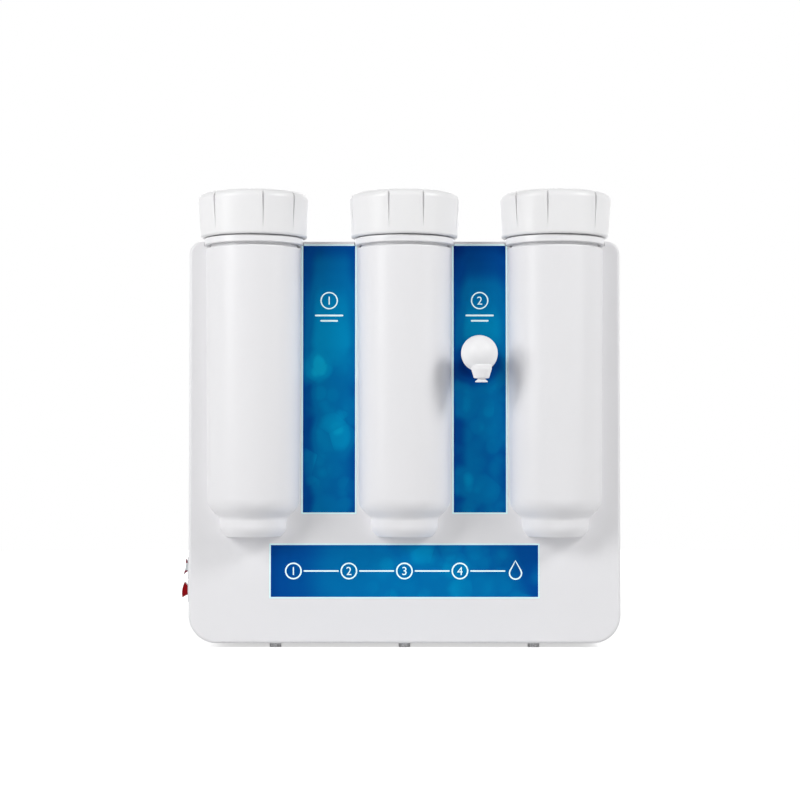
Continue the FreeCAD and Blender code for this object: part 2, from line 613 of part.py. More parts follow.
def printed_panels():
    """Thin printed films on the front of the cover: one in each valley and a banner below."""
    top = TOP_Z - TALL_PANEL_TOP
    tall = [box(side * PITCH / 2, PANEL_Y - PANEL_FILM / 2, top - TALL_PANEL_HEIGHT,
                TALL_PANEL_WIDTH, PANEL_FILM, TALL_PANEL_HEIGHT) for side in (-1, 1)]
    for x in CANISTER_XS.values():
        tall = [film.cut(seat_recess(x)) for film in tall]
    tap_hole = rod(SHANK_RADIUS + JOINT_GAP, 4 * WALL, V(TAP_X, PANEL_Y - 2 * WALL, TAP_Z), Y_AXIS)
    banner_low = BASE_Z + BANNER_TOP - BANNER_HEIGHT
    banner = box(0, PANEL_Y - PANEL_FILM / 2, banner_low, BANNER_WIDTH, PANEL_FILM, BANNER_HEIGHT)
    return tall[0], tall[1].cut(tap_hole), banner


# ---------------------------------------------------------------- canisters, caps and lids
def helical_ridge(radius, depth, low_z, turns):
    """Thread ridge rooted in a wall at radius; depth is positive outwards and negative inwards."""
    root = radius - math.copysign(THREAD_BITE, depth)
    path = Part.makeHelix(THREAD_PITCH, THREAD_PITCH * turns, radius)
    corners = [V(root, 0, -THREAD_BASE / 2), V(radius + depth, 0, -THREAD_CREST / 2),
               V(radius + depth, 0, THREAD_CREST / 2), V(root, 0, THREAD_BASE / 2)]
    section = Part.makePolygon(corners + corners[:1])
    ridge = Part.Wire(path).makePipeShell([section], True, True)
    return ridge.translated(V(0, 0, low_z))


def canister():
    """Pressure canister about its own axis: nosed body, flange, threaded neck and cartridge socket."""
    body = bay_form(CANISTER_OFFSET, SEAT_Z)
    flange = turned([
        (0, SEAT_Z, 0), (FLANGE_RADIUS, SEAT_Z, FLANGE_EDGE), (FLANGE_RADIUS, FLANGE_TOP_Z, FLANGE_EDGE),
        (0, FLANGE_TOP_Z, 0)])
    neck = rod(NECK_RADIUS, NECK_TOP_Z - SEAT_Z, V(0, 0, SEAT_Z), Z_AXIS)
    ridge = helical_ridge(NECK_RADIUS, THREAD_DEPTH, FLANGE_TOP_Z + THREAD_START, NECK_THREAD_TURNS)
    whole = fused([body, flange, neck, ridge])
    bore = rod(NECK_BORE, NECK_TOP_Z, V(0, 0, SEAT_Z - FLANGE_HEIGHT), Z_AXIS)
    whole = whole.cut(bay_form(INNER_OFFSET, SEAT_Z)).cut(bore)
    socket_bore = CARTRIDGE_SPIGOT + JOINT_GAP
    socket_foot = V(0, 0, NOSE_FOOT_Z + INNER_OFFSET)
    whole = whole.fuse(ring(socket_bore + SOCKET_WALL, socket_bore, SOCKET_HEIGHT, socket_foot, Z_AXIS))
    for height in (INLET_PORT_Z, OUTLET_PORT_Z):
        outside_socket = V(0, socket_bore + 2 * SOCKET_WALL, height)
        whole = whole.cut(rod(PORT_RADIUS, BAY_TOP_RADIUS, outside_socket, Y_AXIS))
    return whole.removeSplitter()


def groove_section(z, surface, depth, scale):
    """Outline of a grip groove at height z: two rounded lips run into a rounded bottom."""
    half, lip = GROOVE_HALF_WIDTH * scale, GROOVE_LIP * scale
    diagonal = lip * math.sqrt(0.5)
    edge = half + lip
    margin = surface + 2 * GROOVE_LIP
    ends, lips = [], []
    for side in (-1, 1):
        mouth, end = V(surface, side * edge, z), V(surface - lip, side * half, z)
        bend = V(surface - lip + diagonal, side * (edge - diagonal), z)
        lips.append(Part.Arc(mouth, bend, end).toShape())
        ends.append(end)
    bottom = Part.Arc(ends[0], V(surface - lip - depth, 0, z), ends[1]).toShape()
    outside = [V(surface, edge, z), V(margin, edge, z), V(margin, -edge, z), V(surface, -edge, z)]
    return Part.Wire([lips[0], bottom, lips[1]] + Part.makePolygon(outside).Edges)


def groove_cutter(angle):
    """Cutter for one grip groove, deep at the cap's top and running out lower down."""
    low_z, high_z = CAP_TOP_Z - GROOVE_LENGTH, CAP_TOP_Z + WALL
    slope = (CAP_TOP_RADIUS - CAP_LOW_RADIUS) / CAP_HEIGHT
    low_surface, high_surface = (CAP_LOW_RADIUS + slope * (z - CAP_LOW_Z) for z in (low_z, high_z))
    low_lip = GROOVE_LIP * GROOVE_RUN_OUT
    low = groove_section(low_z, low_surface + 2 * low_lip, low_lip, GROOVE_RUN_OUT)
    high = groove_section(high_z, high_surface, GROOVE_DEPTH - GROOVE_LIP, 1.0)
    return Part.makeLoft([low, high], True, True).rotated(ZERO, Z_AXIS, angle)


def screw_cap(turn):
    """Screw cap about its own axis, with alternating wide and narrow grips and an inside thread."""
    dish_low_z = CAP_TOP_Z - CAP_DISH_DEPTH
    cap = turned([
        (0, CAP_LOW_Z, 0), (CAP_LOW_RADIUS, CAP_LOW_Z, CAP_LOW_ROUND),
        (CAP_TOP_RADIUS, CAP_TOP_Z, CAP_TOP_ROUND), (CAP_DISH_RADIUS, CAP_TOP_Z, 0),
        (CAP_DISH_RADIUS - CAP_DISH_DEPTH, dish_low_z, 0), (0, dish_low_z, 0)])
    period = 360.0 / LOBE_PAIRS
    for k in range(LOBE_PAIRS):
        for side in (-1, 1):
            cap = cap.cut(groove_cutter(turn - 90 + k * period + side * (period - WIDE_LOBE) / 2))
    cavity_top = LID_TOP_Z + TURN_GAP
    boss_room = LID_BOSS_RADIUS + TURN_GAP
    boss_top = cavity_top + LID_BOSS_HEIGHT
    cap = cap.cut(turned([
        (0, CAP_LOW_Z - CUT_OVER, 0), (CAP_CAVITY_RADIUS, CAP_LOW_Z - CUT_OVER, 0),
        (CAP_CAVITY_RADIUS, cavity_top, CAP_CAVITY_ROUND), (boss_room, cavity_top, 0),
        (boss_room, boss_top, 0), (0, boss_top, 0)]))
    thread_z = FLANGE_TOP_Z + THREAD_START + THREAD_PITCH / 2
    ridge = helical_ridge(CAP_CAVITY_RADIUS, -THREAD_DEPTH, thread_z, CAP_THREAD_TURNS)
    return cap.fuse(ridge).removeSplitter()


def lid():
    """Sealing lid about its own axis: it plugs the neck, and its post holds the cartridge down."""
    plug = NECK_BORE - TURN_GAP
    floor = LID_LOW_Z - LID_DEPTH
    boss_top = LID_TOP_Z + LID_BOSS_HEIGHT
    body = turned([
        (0, floor, 0), (plug, floor, LID_LEAD_IN), (plug, LID_LOW_Z, 0), (LID_FLANGE_RADIUS, LID_LOW_Z, 0),
        (LID_FLANGE_RADIUS, LID_TOP_Z, LID_EDGE), (LID_BOSS_RADIUS, LID_TOP_Z, 0),
        (LID_BOSS_RADIUS, boss_top, LID_EDGE), (0, boss_top, 0)])
    hollow = rod(plug - LID_WALL - 2 * SEAL_SECTION, LID_DEPTH, V(0, 0, floor), Z_AXIS)
    post_low = CARTRIDGE_TOP_Z + TURN_GAP
    post_length = LID_LOW_Z - post_low + LID_FLANGE_HEIGHT / 2
    post = ring(LID_POST_RADIUS, LID_POST_RADIUS - LID_WALL, post_length, V(0, 0, post_low), Z_AXIS)
    groove_height = 2 * SEAL_SECTION + JOINT_GAP
    groove_low = V(0, 0, LID_LOW_Z - SEAL_DROP - groove_height / 2)
    groove = ring(NECK_BORE, SEAL_RADIUS - SEAL_SECTION, groove_height, groove_low, Z_AXIS)
    return body.cut(hollow).fuse(post).cut(groove).removeSplitter()


def lid_seal():
    """O-ring in the lid's groove."""
    return Part.makeTorus(SEAL_RADIUS, SEAL_SECTION, V(0, 0, LID_LOW_Z - SEAL_DROP), Z_AXIS)


def cartridge(media_radius):
    """Filter cartridge about its own axis: media tube between two end caps, the lower one with a spigot."""
    low = CARTRIDGE_LOW_Z
    low_cap_top = low + CARTRIDGE_CAP_HEIGHT
    top_cap_low = CARTRIDGE_TOP_Z - CARTRIDGE_CAP_HEIGHT
    cap_radius = media_radius + CAP_OVERHANG
    media = ring(media_radius, CARTRIDGE_CORE, top_cap_low - low_cap_top, V(0, 0, low_cap_top), Z_AXIS)
    top_bore = LID_POST_RADIUS - LID_WALL
    top_cap = ring(cap_radius, top_bore, CARTRIDGE_CAP_HEIGHT, V(0, 0, top_cap_low), Z_AXIS)
    spigot_low = NOSE_FOOT_Z + INNER_OFFSET + JOINT_GAP
    low_cap = turned([
        (0, low, 0), (CARTRIDGE_SPIGOT + SOCKET_WALL, low, 0),
        (cap_radius, low_cap_top - CARTRIDGE_CAP_RIM, 0), (cap_radius, low_cap_top, 0),
        (0, low_cap_top, 0)])
    spigot = rod(CARTRIDGE_SPIGOT, low_cap_top - spigot_low, V(0, 0, spigot_low), Z_AXIS)
    bore = rod(CARTRIDGE_SPIGOT - SOCKET_WALL, CARTRIDGE_LENGTH, V(0, 0, spigot_low), Z_AXIS)
    return [media, top_cap, low_cap.fuse(spigot).cut(bore).removeSplitter()]


# ---------------------------------------------------------------- tap
def tap_ring_places():
    """Where the two O-rings sit on the stem, inside the ball."""
    return [STEM_Y + TAP_RING_MARGIN + k * TAP_RING_PITCH for k in (0, 1)]


def tap_stem():
    """Fixed stem: rose against the panel, barrel for the ball and a threaded shank through the cover."""
    rose = turned([
        (0, 0, 0), (ROSE_RADIUS, 0, 0), (ROSE_RADIUS, ROSE_HEIGHT, ROSE_HEIGHT / 2), (0, ROSE_HEIGHT, 0)])
    rose = aimed(rose, V(0, -1, 0)).translated(V(TAP_X, SHANK_Y + ROSE_HEIGHT, TAP_Z))
    barrel = rod(STEM_RADIUS, SHANK_Y + ROSE_HEIGHT - STEM_Y, V(TAP_X, STEM_Y, TAP_Z), Y_AXIS)
    shank = rod(SHANK_RADIUS, SHANK_LENGTH, V(TAP_X, SHANK_Y, TAP_Z), Y_AXIS)
    stem = fused([rose, barrel, shank])
    stem = stem.cut(rod(TAP_WATERWAY, BODY_DEPTH, V(TAP_X, STEM_Y, TAP_Z), Y_AXIS))
    for y in tap_ring_places():
        width = 2 * TAP_RING_SECTION + JOINT_GAP
        start = V(TAP_X, y - width / 2, TAP_Z)
        groove_radius = STEM_RADIUS - 2 * TAP_RING_SECTION
        stem = stem.cut(ring(STEM_RADIUS + CUT_OVER, groove_radius, width, start, Y_AXIS))
    return stem


def tap_rings():
    """Two O-rings between stem and ball."""
    return [Part.makeTorus(STEM_RADIUS - TAP_RING_SECTION, TAP_RING_SECTION, V(TAP_X, y, TAP_Z), Y_AXIS)
            for y in tap_ring_places()]


def tap_ball():
    """Ball that turns on the stem, with the tapered spout that comes down in front of it."""
    axis = V(TAP_X, TAP_Y, TAP_Z)
    ball = Part.makeSphere(BALL_RADIUS, axis - V(BALL_SIDE, 0, 0))
    spout = turned([
        (0, -SPOUT_FOOT_DROP, 0), (SPOUT_LOW_RADIUS, -SPOUT_FOOT_DROP, SPOUT_LOW_EDGE),
        (SPOUT_TOP_RADIUS, -SPOUT_TOP_DROP - SPOUT_COLLAR, 0),
        (SPOUT_TOP_RADIUS, -SPOUT_TOP_DROP, SPOUT_TOP_EDGE), (0, -SPOUT_TOP_DROP, 0)])
    outlet = V(TAP_X, SPOUT_Y, TAP_Z)
    ball = ball.fuse(spout.translated(outlet))
    ball = ball.fuse(rod(STEM_RADIUS + SLEEVE_WALL, BALL_RADIUS + 1.5, axis, Y_AXIS))
    bore_start = V(TAP_X, STEM_Y - TURN_GAP, TAP_Z)
    ball = ball.cut(rod(STEM_RADIUS + BEARING_GAP, 2 * BALL_RADIUS, bore_start, Y_AXIS))
    ball = ball.cut(rod(TAP_WATERWAY, BALL_RADIUS, outlet, Y_AXIS))
    ball = ball.cut(rod(TAP_WATERWAY, SPOUT_FOOT_DROP, outlet, V(0, 0, -1)))
    spigot_hole = outlet - V(0, 0, SPOUT_FOOT_DROP)
    return ball.cut(rod(SPIGOT_RADIUS, SPIGOT_LENGTH, spigot_hole, Z_AXIS)).removeSplitter()


def tap_nozzle():
    """Hose nozzle pressed into the spout: spigot, thin neck and flared lip."""
    low, foot = -SPOUT_FOOT_DROP - NOZZLE_DROP, -SPOUT_FOOT_DROP
    nozzle = turned([
        (NOZZLE_BORE, low, 0), (NOZZLE_LIP_RADIUS, low, NOZZLE_ROUND),
        (NOZZLE_LIP_RADIUS, low + NOZZLE_LIP_EDGE, NOZZLE_ROUND),
        (NOZZLE_NECK_RADIUS, foot - NOZZLE_LIP_EDGE, NOZZLE_ROUND), (NOZZLE_NECK_RADIUS, foot, 0),
        (SPIGOT_RADIUS, foot, 0), (SPIGOT_RADIUS, foot + SPIGOT_LENGTH, 0),
        (NOZZLE_BORE, foot + SPIGOT_LENGTH, 0)])
    return nozzle.translated(V(TAP_X, SPOUT_Y, TAP_Z))


def tap_washer():
    """Sealing washer behind the cover wall."""
    bore = SHANK_RADIUS + JOINT_GAP
    return ring(ROSE_RADIUS, bore, TAP_WASHER_HEIGHT, V(TAP_X, PANEL_Y + WALL, TAP_Z), Y_AXIS)


def tap_nut():
    """Nut on the shank, against the washer."""
    start = V(TAP_X, PANEL_Y + WALL + TAP_WASHER_HEIGHT, TAP_Z)
    return hexagon_nut(TAP_NUT_FLATS, TAP_NUT_HEIGHT, SHANK_RADIUS, start)


# ---------------------------------------------------------------- switches
def switch_body(place):
    """Snap-in switch housing: bezel outside the wall, body through it and two blades behind."""
    bezel = box(place.x - BEZEL_THICKNESS / 2, place.y, place.z - BEZEL_HEIGHT / 2,
                BEZEL_THICKNESS, BEZEL_WIDTH, BEZEL_HEIGHT)
    corners = [edge for edge in bezel.Edges if abs(edge.Curve.Direction.x) > 0.9]
    bezel = bezel.makeFillet(BEZEL_THICKNESS / 2, corners)
    body = box(place.x + SWITCH_BODY_DEPTH / 2, place.y, place.z - SWITCH_BODY_HEIGHT / 2,
               SWITCH_BODY_DEPTH, SWITCH_BODY_WIDTH, SWITCH_BODY_HEIGHT)
    whole = bezel.fuse(body)
    well_end = place.x + PIVOT_DEPTH + ROCKER_TOE + WELL_GAP
    well_start = place.x - 2 * BEZEL_THICKNESS
    well_height = ROCKER_WAIST + 2 * WELL_GAP
    whole = whole.cut(box((well_start + well_end) / 2, place.y, place.z - well_height / 2,
                          well_end - well_start, ROCKER_WIDTH + 2 * TURN_GAP, well_height))
    pin_room = PIN_LENGTH + 2 * TURN_GAP
    pin_start = rocker_pivot(place) - V(0, pin_room / 2, 0)
    whole = whole.cut(rod(ROCKER_PIN + BEARING_GAP, pin_room, pin_start, Y_AXIS))
    length, width, thickness = BLADE_SIZE
    blade_x = place.x + SWITCH_BODY_DEPTH + length / 2
    for side in (-1, 1):
        blade_low = place.z + side * BLADE_SPACING / 2 - thickness / 2
        whole = whole.fuse(box(blade_x, place.y, blade_low, length, width, thickness))
    return whole.removeSplitter()


def rocker_pivot(place):
    """Pivot line of a rocker, just inside the wall."""
    return place + V(PIVOT_DEPTH, 0, 0)


def rocker(place, reach, rise):
    """Rocker with an arched face and two pivot pins, lying with its lower end out."""
    face_x = -reach - PIVOT_DEPTH
    waist_x = -BEZEL_THICKNESS - ROCKER_LIFT - PIVOT_DEPTH
    half, waist = ROCKER_LENGTH / 2, ROCKER_WAIST / 2
    horns = [V(face_x - rise, 0, side * half) for side in (1, -1)]
    face = Part.Arc(horns[0], V(face_x, 0, 0), horns[1]).toShape()
    rest = Part.makePolygon([
        horns[1], V(waist_x, 0, -waist), V(ROCKER_TOE, 0, -ROCKER_TOE / 2),
        V(ROCKER_TOE, 0, ROCKER_TOE / 2), V(waist_x, 0, waist), horns[0]])
    key = Part.Face(Part.Wire([face] + rest.Edges)).extrude(V(0, ROCKER_WIDTH, 0))
    pins = rod(ROCKER_PIN, PIN_LENGTH, V(0, -PIN_LENGTH / 2, 0), Y_AXIS)
    key = key.translated(V(0, -ROCKER_WIDTH / 2, 0)).fuse(pins).removeSplitter()
    return key.rotated(ZERO, Y_AXIS, ROCKER_TILT).translated(rocker_pivot(place))


# ---------------------------------------------------------------- chassis
def chassis():
    """Bent steel sheet: base on the bottom walls and upright plate behind the canisters."""
    front, back = PANEL_Y + WALL + JOINT_GAP, BACK_Y - WALL - JOINT_GAP
    width = 2 * PLATE_HALF_WIDTH
    base = box(0, (front + back) / 2, FLOOR_Z, width, back - front, SHEET)
    upright = box(0, PLATE_Y + SHEET / 2, FLOOR_Z, width, SHEET, TOP_Z - PLATE_TOP_GAP - FLOOR_Z)
    whole = base.fuse(upright)
    tube_holes = [(x, z) for x in CANISTER_XS.values() for z in (INLET_PORT_Z, OUTLET_PORT_Z)]
    for x, z in tube_holes + [(TAP_X, TAP_Z)]:
        whole = whole.cut(rod(TUBE_HOLE_RADIUS, 4 * SHEET, V(x, PLATE_Y - SHEET, z), Y_AXIS))
    for x, height in COVER_BOSSES:
        hole = V(x, PLATE_Y - SHEET, BASE_Z + height)
        whole = whole.cut(rod(SCREW_RADIUS + JOINT_GAP, 4 * SHEET, hole, Y_AXIS))
    return whole.cut(foot_holes()).removeSplitter()


def saddles():
    """Saddle blocks on the upright plate that steady the canister shoulders."""
    low = OUTLET_PORT_Z + UNION_RADIUS + SADDLE_GAP
    front = PANEL_Y + NOSE_LOW_RADIUS - CANISTER_OFFSET - SADDLE_REACH
    made = []
    for x in CANISTER_XS.values():
        block = box(x, (front + PLATE_Y) / 2, low, 2 * SADDLE_HALF_WIDTH, PLATE_Y - front, SADDLE_HEIGHT)
        made.append(block.cut(bay_form(CANISTER_OFFSET - TURN_GAP, SEAT_Z).translated(V(x, PANEL_Y, 0))))
    return made


def rear_posts():
    """Round posts from the upright plate to the back wall."""
    length = BACK_Y - WALL - PLATE_BACK_Y
    made = []
    for x, height in POSTS:
        start = V(x, PLATE_BACK_Y, BASE_Z + height)
        pilot_depth = SCREW_LENGTH - WALL
        pilot = rod(SCREW_RADIUS, pilot_depth, start + V(0, length - pilot_depth, 0), Y_AXIS)
        made.append(rod(POST_RADIUS, length, start, Y_AXIS).cut(pilot))
    return made


def housing_screws():
    """Screws from the plate into the cover's bosses and through the back wall into the posts."""
    inner = [screw(V(x, PLATE_BACK_Y, BASE_Z + height), V(0, -1, 0)) for x, height in COVER_BOSSES]
    outer = [screw(V(x, BACK_Y, BASE_Z + height), V(0, -1, 0)) for x, height in POSTS]
    return inner + outer


# ---------------------------------------------------------------- booster pump
def pump_motor():
    """Motor can along X, closed by two bearing plates."""
    start = PUMP_AXIS - V(MOTOR_LENGTH, 0, 0)
    can = ring(MOTOR_RADIUS, MOTOR_RADIUS - MOTOR_WALL, MOTOR_LENGTH, start, X_AXIS)
    bearing = ROTOR_SHAFT_RADIUS + BEARING_GAP
    plates = [ring(MOTOR_RADIUS - MOTOR_WALL, bearing, BEARING_PLATE, at, X_AXIS)
              for at in (start, PUMP_AXIS - V(BEARING_PLATE, 0, 0))]
    return fused([can] + plates)


def pump_head():
    """Cup-shaped head against the motor's end."""
    shell = ring(PUMP_HEAD_RADIUS, PUMP_HEAD_RADIUS - PUMP_WALL, PUMP_HEAD_LENGTH, PUMP_AXIS, X_AXIS)
    floor = rod(PUMP_HEAD_RADIUS, PUMP_WALL, PUMP_AXIS + V(PUMP_HEAD_LENGTH - PUMP_WALL, 0, 0), X_AXIS)
    lip = ring(PUMP_HEAD_RADIUS, MOTOR_RADIUS - PUMP_WALL, PUMP_WALL, PUMP_AXIS, X_AXIS)
    return fused([shell, floor, lip])


def pump_valve_cover():
    """Cover on the head with the pump's two ports."""
    start = PUMP_AXIS + V(PUMP_HEAD_LENGTH, 0, 0)
    cover = rod(PUMP_HEAD_RADIUS - PUMP_WALL, PUMP_CAP_LENGTH, start, X_AXIS)
    return with_ports(cover, ("pump_in", "pump_out"))


def pump_foot():
    """Cradle under the motor."""
    low = SHEET_TOP_Z + GROMMET_HEIGHT
    top = PUMP_AXIS.z - MOTOR_RADIUS / 2
    middle_x = PUMP_AXIS.x - MOTOR_LENGTH / 2
    cradle = box(middle_x, PUMP_AXIS.y, low, PUMP_FOOT_LENGTH, PUMP_FOOT_WIDTH, top - low)
    room = rod(MOTOR_RADIUS + JOINT_GAP, 2 * MOTOR_LENGTH, PUMP_AXIS - V(1.5 * MOTOR_LENGTH, 0, 0), X_AXIS)
    return cradle.cut(room)


def pump_grommets():
    """Rubber grommets under the corners of the cradle."""
    made = []
    for side_x in (-1, 1):
        for side_y in (-1, 1):
            x = PUMP_AXIS.x - MOTOR_LENGTH / 2 + side_x * (PUMP_FOOT_LENGTH / 2 - 1.5 * GROMMET_RADIUS)
            y = PUMP_AXIS.y + side_y * (PUMP_FOOT_WIDTH / 2 - 1.5 * GROMMET_RADIUS)
            made.append(rod(GROMMET_RADIUS, GROMMET_HEIGHT, V(x, y, SHEET_TOP_Z), Z_AXIS))
    return made


def pump_rotor():
    """Motor shaft with armature and the eccentric that rocks the diaphragms."""
    start = PUMP_AXIS - V(MOTOR_LENGTH, 0, 0)
    shaft = rod(ROTOR_SHAFT_RADIUS, MOTOR_LENGTH + PUMP_HEAD_LENGTH - 2 * PUMP_WALL, start, X_AXIS)
    armature_length = MOTOR_LENGTH - 2 * (BEARING_PLATE + PUMP_WALL)
    armature = rod(MOTOR_RADIUS - MOTOR_WALL - PUMP_WALL, armature_length,
                   start + V(BEARING_PLATE + PUMP_WALL, 0, 0), X_AXIS)
    eccentric_at = PUMP_AXIS + V(2 * PUMP_WALL, 0, -ECCENTRIC_OFFSET)
    return fused([shaft, armature, rod(ECCENTRIC_RADIUS, ECCENTRIC_WIDTH, eccentric_at, X_AXIS)])


# ---------------------------------------------------------------- reverse-osmosis vessel
def membrane_vessel():
    """Pressure vessel across the back of the plate, open at its capped end."""
    start = V(-VESSEL_LENGTH / 2, VESSEL_Y, VESSEL_Z)
    bore = rod(VESSEL_RADIUS - VESSEL_WALL, VESSEL_LENGTH, start + V(VESSEL_WALL, 0, 0), X_AXIS)
    return with_ports(rod(VESSEL_RADIUS, VESSEL_LENGTH, start, X_AXIS).cut(bore), ("membrane_out",))


def membrane_vessel_cap():
    """Screwed end cap over the vessel's open end."""
    skirt = VESSEL_CAP_LENGTH - VESSEL_CAP_FLOOR
    start = V(VESSEL_LENGTH / 2 - skirt, VESSEL_Y, VESSEL_Z)
    cap = rod(VESSEL_CAP_RADIUS, VESSEL_CAP_LENGTH, start, X_AXIS)
    return with_ports(cap.cut(rod(VESSEL_RADIUS + JOINT_GAP, skirt, start, X_AXIS)), ("membrane_in",))


def membrane_element():
    """Wound membrane element, carried in the vessel by a seal near each end."""
    start = V(-VESSEL_LENGTH / 2 + VESSEL_WALL, VESSEL_Y, VESSEL_Z)
    length = VESSEL_LENGTH - VESSEL_WALL - JOINT_GAP
    element = ring(MEMBRANE_RADIUS, MEMBRANE_CORE, length, start, X_AXIS)
    seal_radius = VESSEL_RADIUS - VESSEL_WALL - JOINT_GAP
    for at in (MEMBRANE_SEAL_MARGIN, length - MEMBRANE_SEAL_MARGIN - MEMBRANE_SEAL):
        place = start + V(at, 0, 0)
        element = element.fuse(ring(seal_radius, MEMBRANE_RADIUS, MEMBRANE_SEAL, place, X_AXIS))
    return element.removeSplitter()


def membrane_clips():
    """Two open spring clips that hold the vessel on the plate."""
    inner = VESSEL_RADIUS + JOINT_GAP
    mouth_low = VESSEL_Z - CLIP_MOUTH / 2
    mouth = box(0, VESSEL_Y + VESSEL_RADIUS, mouth_low, BODY_WIDTH, VESSEL_RADIUS, CLIP_MOUTH)
    room = rod(inner, BODY_WIDTH, V(-HALF_WIDTH, VESSEL_Y, VESSEL_Z), X_AXIS)
    made = []
    for side in (-1, 1):
        x = side * CLIP_SPACING / 2
        band = rod(inner + CLIP_THICKNESS, CLIP_WIDTH, V(x - CLIP_WIDTH / 2, VESSEL_Y, VESSEL_Z), X_AXIS)
        foot = box(x, (PLATE_BACK_Y + VESSEL_Y) / 2, VESSEL_Z - CLIP_WIDTH / 2,
                   CLIP_WIDTH, VESSEL_Y - PLATE_BACK_Y, CLIP_WIDTH)
        made.append(band.fuse(foot).cut(room).cut(mouth).removeSplitter())
    return made


# ---------------------------------------------------------------- solenoid valves
def valve_body(name):
    """Valve block on two legs, with its two ports and the plunger's guide tube."""
    x = VALVE_XS[name]
    width, depth, height = VALVE_BLOCK
    low = SHEET_TOP_Z + VALVE_STANDOFF
    body = box(x, VALVE_Y, low, width, depth, height)
    for side in (-1, 1):
        leg_x = x + side * (width / 2 - VALVE_LEG / 2)
        body = body.fuse(box(leg_x, VALVE_Y, SHEET_TOP_Z, VALVE_LEG, depth, VALVE_STANDOFF))
    body = body.fuse(rod(GUIDE_RADIUS, COIL_HEIGHT + GUIDE_PROUD, V(x, VALVE_Y, low + height), Z_AXIS))
    bore_height = PLUNGER_LENGTH + PLUNGER_TRAVEL + 2 * TURN_GAP
    bore_foot = plunger_foot(name) - V(0, 0, TURN_GAP)
    body = body.cut(rod(PLUNGER_RADIUS + BEARING_GAP, bore_height, bore_foot, Z_AXIS))
    return with_ports(body, (name + "_valve_in", name + "_valve_out"))


def plunger_foot(name):
    """Underside of a closed valve's plunger, on its axis."""
    return V(VALVE_XS[name], VALVE_Y, SHEET_TOP_Z + VALVE_STANDOFF + VALVE_BLOCK[2] - PLUNGER_SEAT)


def valve_coil(name):
    """Coil round a valve's guide tube."""
    start = V(VALVE_XS[name], VALVE_Y, SHEET_TOP_Z + VALVE_STANDOFF + VALVE_BLOCK[2])
    return ring(COIL_RADIUS, GUIDE_RADIUS + JOINT_GAP, COIL_HEIGHT, start, Z_AXIS)


# ---------------------------------------------------------------- electrics
def power_supply():
    """Enclosed power supply on the base sheet, with a terminal block in its open end."""
    width, depth, height = SUPPLY_SIZE
    y = PLATE_BACK_Y + SUPPLY_BACKSET + depth / 2
    end_x = SUPPLY_X - width / 2
    case = box(SUPPLY_X, y, SHEET_TOP_Z, width, depth, height)
    step_z = SHEET_TOP_Z + TERMINAL_STEP
    case = case.cut(box(end_x, y, step_z, 2 * TERMINAL_ROOM, depth - 2 * SUPPLY_WALL, height))
    block_x, block_depth = end_x + TERMINAL_ROOM / 2, depth - 4 * SUPPLY_WALL
    block = box(block_x, y, step_z, TERMINAL_ROOM / 2, block_depth, TERMINAL_HEIGHT)
    return case.fuse(block).removeSplitter()


def board_corners():
    """Centres of the control board's four holes on the plate's back face."""
    reach_x, reach_z = (size / 2 - BOARD_MARGIN for size in BOARD_SIZE[:2])
    centre = V(BOARD_AT[0], PLATE_BACK_Y, BASE_Z + BOARD_AT[1])
    return [centre + V(side_x * reach_x, 0, side_z * reach_z) for side_x in (-1, 1) for side_z in (-1, 1)]


def control_board():
    """Circuit board behind the plate, with terminal blocks, transformer and two capacitors."""
    width, height, thickness = BOARD_SIZE
    x, low = BOARD_AT[0], BASE_Z + BOARD_AT[1] - height / 2
    face = PLATE_BACK_Y + STANDOFF_HEIGHT + thickness
    board = box(x, face - thickness / 2, low, width, thickness, height)
    terminal_width, terminal_depth, terminal_height = BOARD_TERMINAL
    for k in (-1, 0, 1):
        at = x + k * (terminal_width + TERMINAL_GAP)
        board = board.fuse(box(at, face + terminal_depth / 2, low + TERMINAL_GAP,
                               terminal_width, terminal_depth, terminal_height))
    core_width, core_depth, core_height = TRANSFORMER
    core_x, core_low = x + width / 4, low + height / 2
    board = board.fuse(box(core_x, face + core_depth / 2, core_low, core_width, core_depth, core_height))
    for k in (0, 1):
        at = V(x - width / 4 - k * 3 * CAPACITOR_RADIUS, face, core_low + CAPACITOR_RADIUS)
        board = board.fuse(rod(CAPACITOR_RADIUS, CAPACITOR_HEIGHT, at, Y_AXIS))
    for corner in board_corners():
        board = board.cut(rod(SCREW_RADIUS, 2 * STANDOFF_HEIGHT, corner, Y_AXIS))
    return board.removeSplitter()


def board_standoffs():
    """Standoffs between plate and board; a pin on each goes through the board."""
    pin_length = STANDOFF_HEIGHT + BOARD_SIZE[2] + PIN_PROUD
    made = []
    for corner in board_corners():
        pin = rod(SCREW_RADIUS - BEARING_GAP, pin_length, corner, Y_AXIS)
        made.append(rod(STANDOFF_RADIUS, STANDOFF_HEIGHT, corner, Y_AXIS).fuse(pin).removeSplitter())
    return made


def pressure_switch():
    """Low-pressure switch on the back of the plate: block, diaphragm housing and microswitch."""
    at = V(SENSOR_AT[0], PLATE_BACK_Y, BASE_Z + SENSOR_AT[1])
    shape = rod(DIAPHRAGM_RADIUS, DIAPHRAGM_HEIGHT, at + V(0, SENSOR_BLOCK[1], 0), Y_AXIS)
    start = 0.0
    for width, depth, height in (SENSOR_BLOCK, MICROSWITCH):
        shape = shape.fuse(box(at.x, at.y + start + depth / 2, at.z - height / 2, width, depth, height))
        start = SENSOR_BLOCK[1] + DIAPHRAGM_HEIGHT
    return shape.removeSplitter()


# ---------------------------------------------------------------- rear connections
def union_place(name):
    """Point where a bulkhead union crosses the outside of the back wall."""
    return V(UNION_XS[name], BACK_Y, UNION_Z)


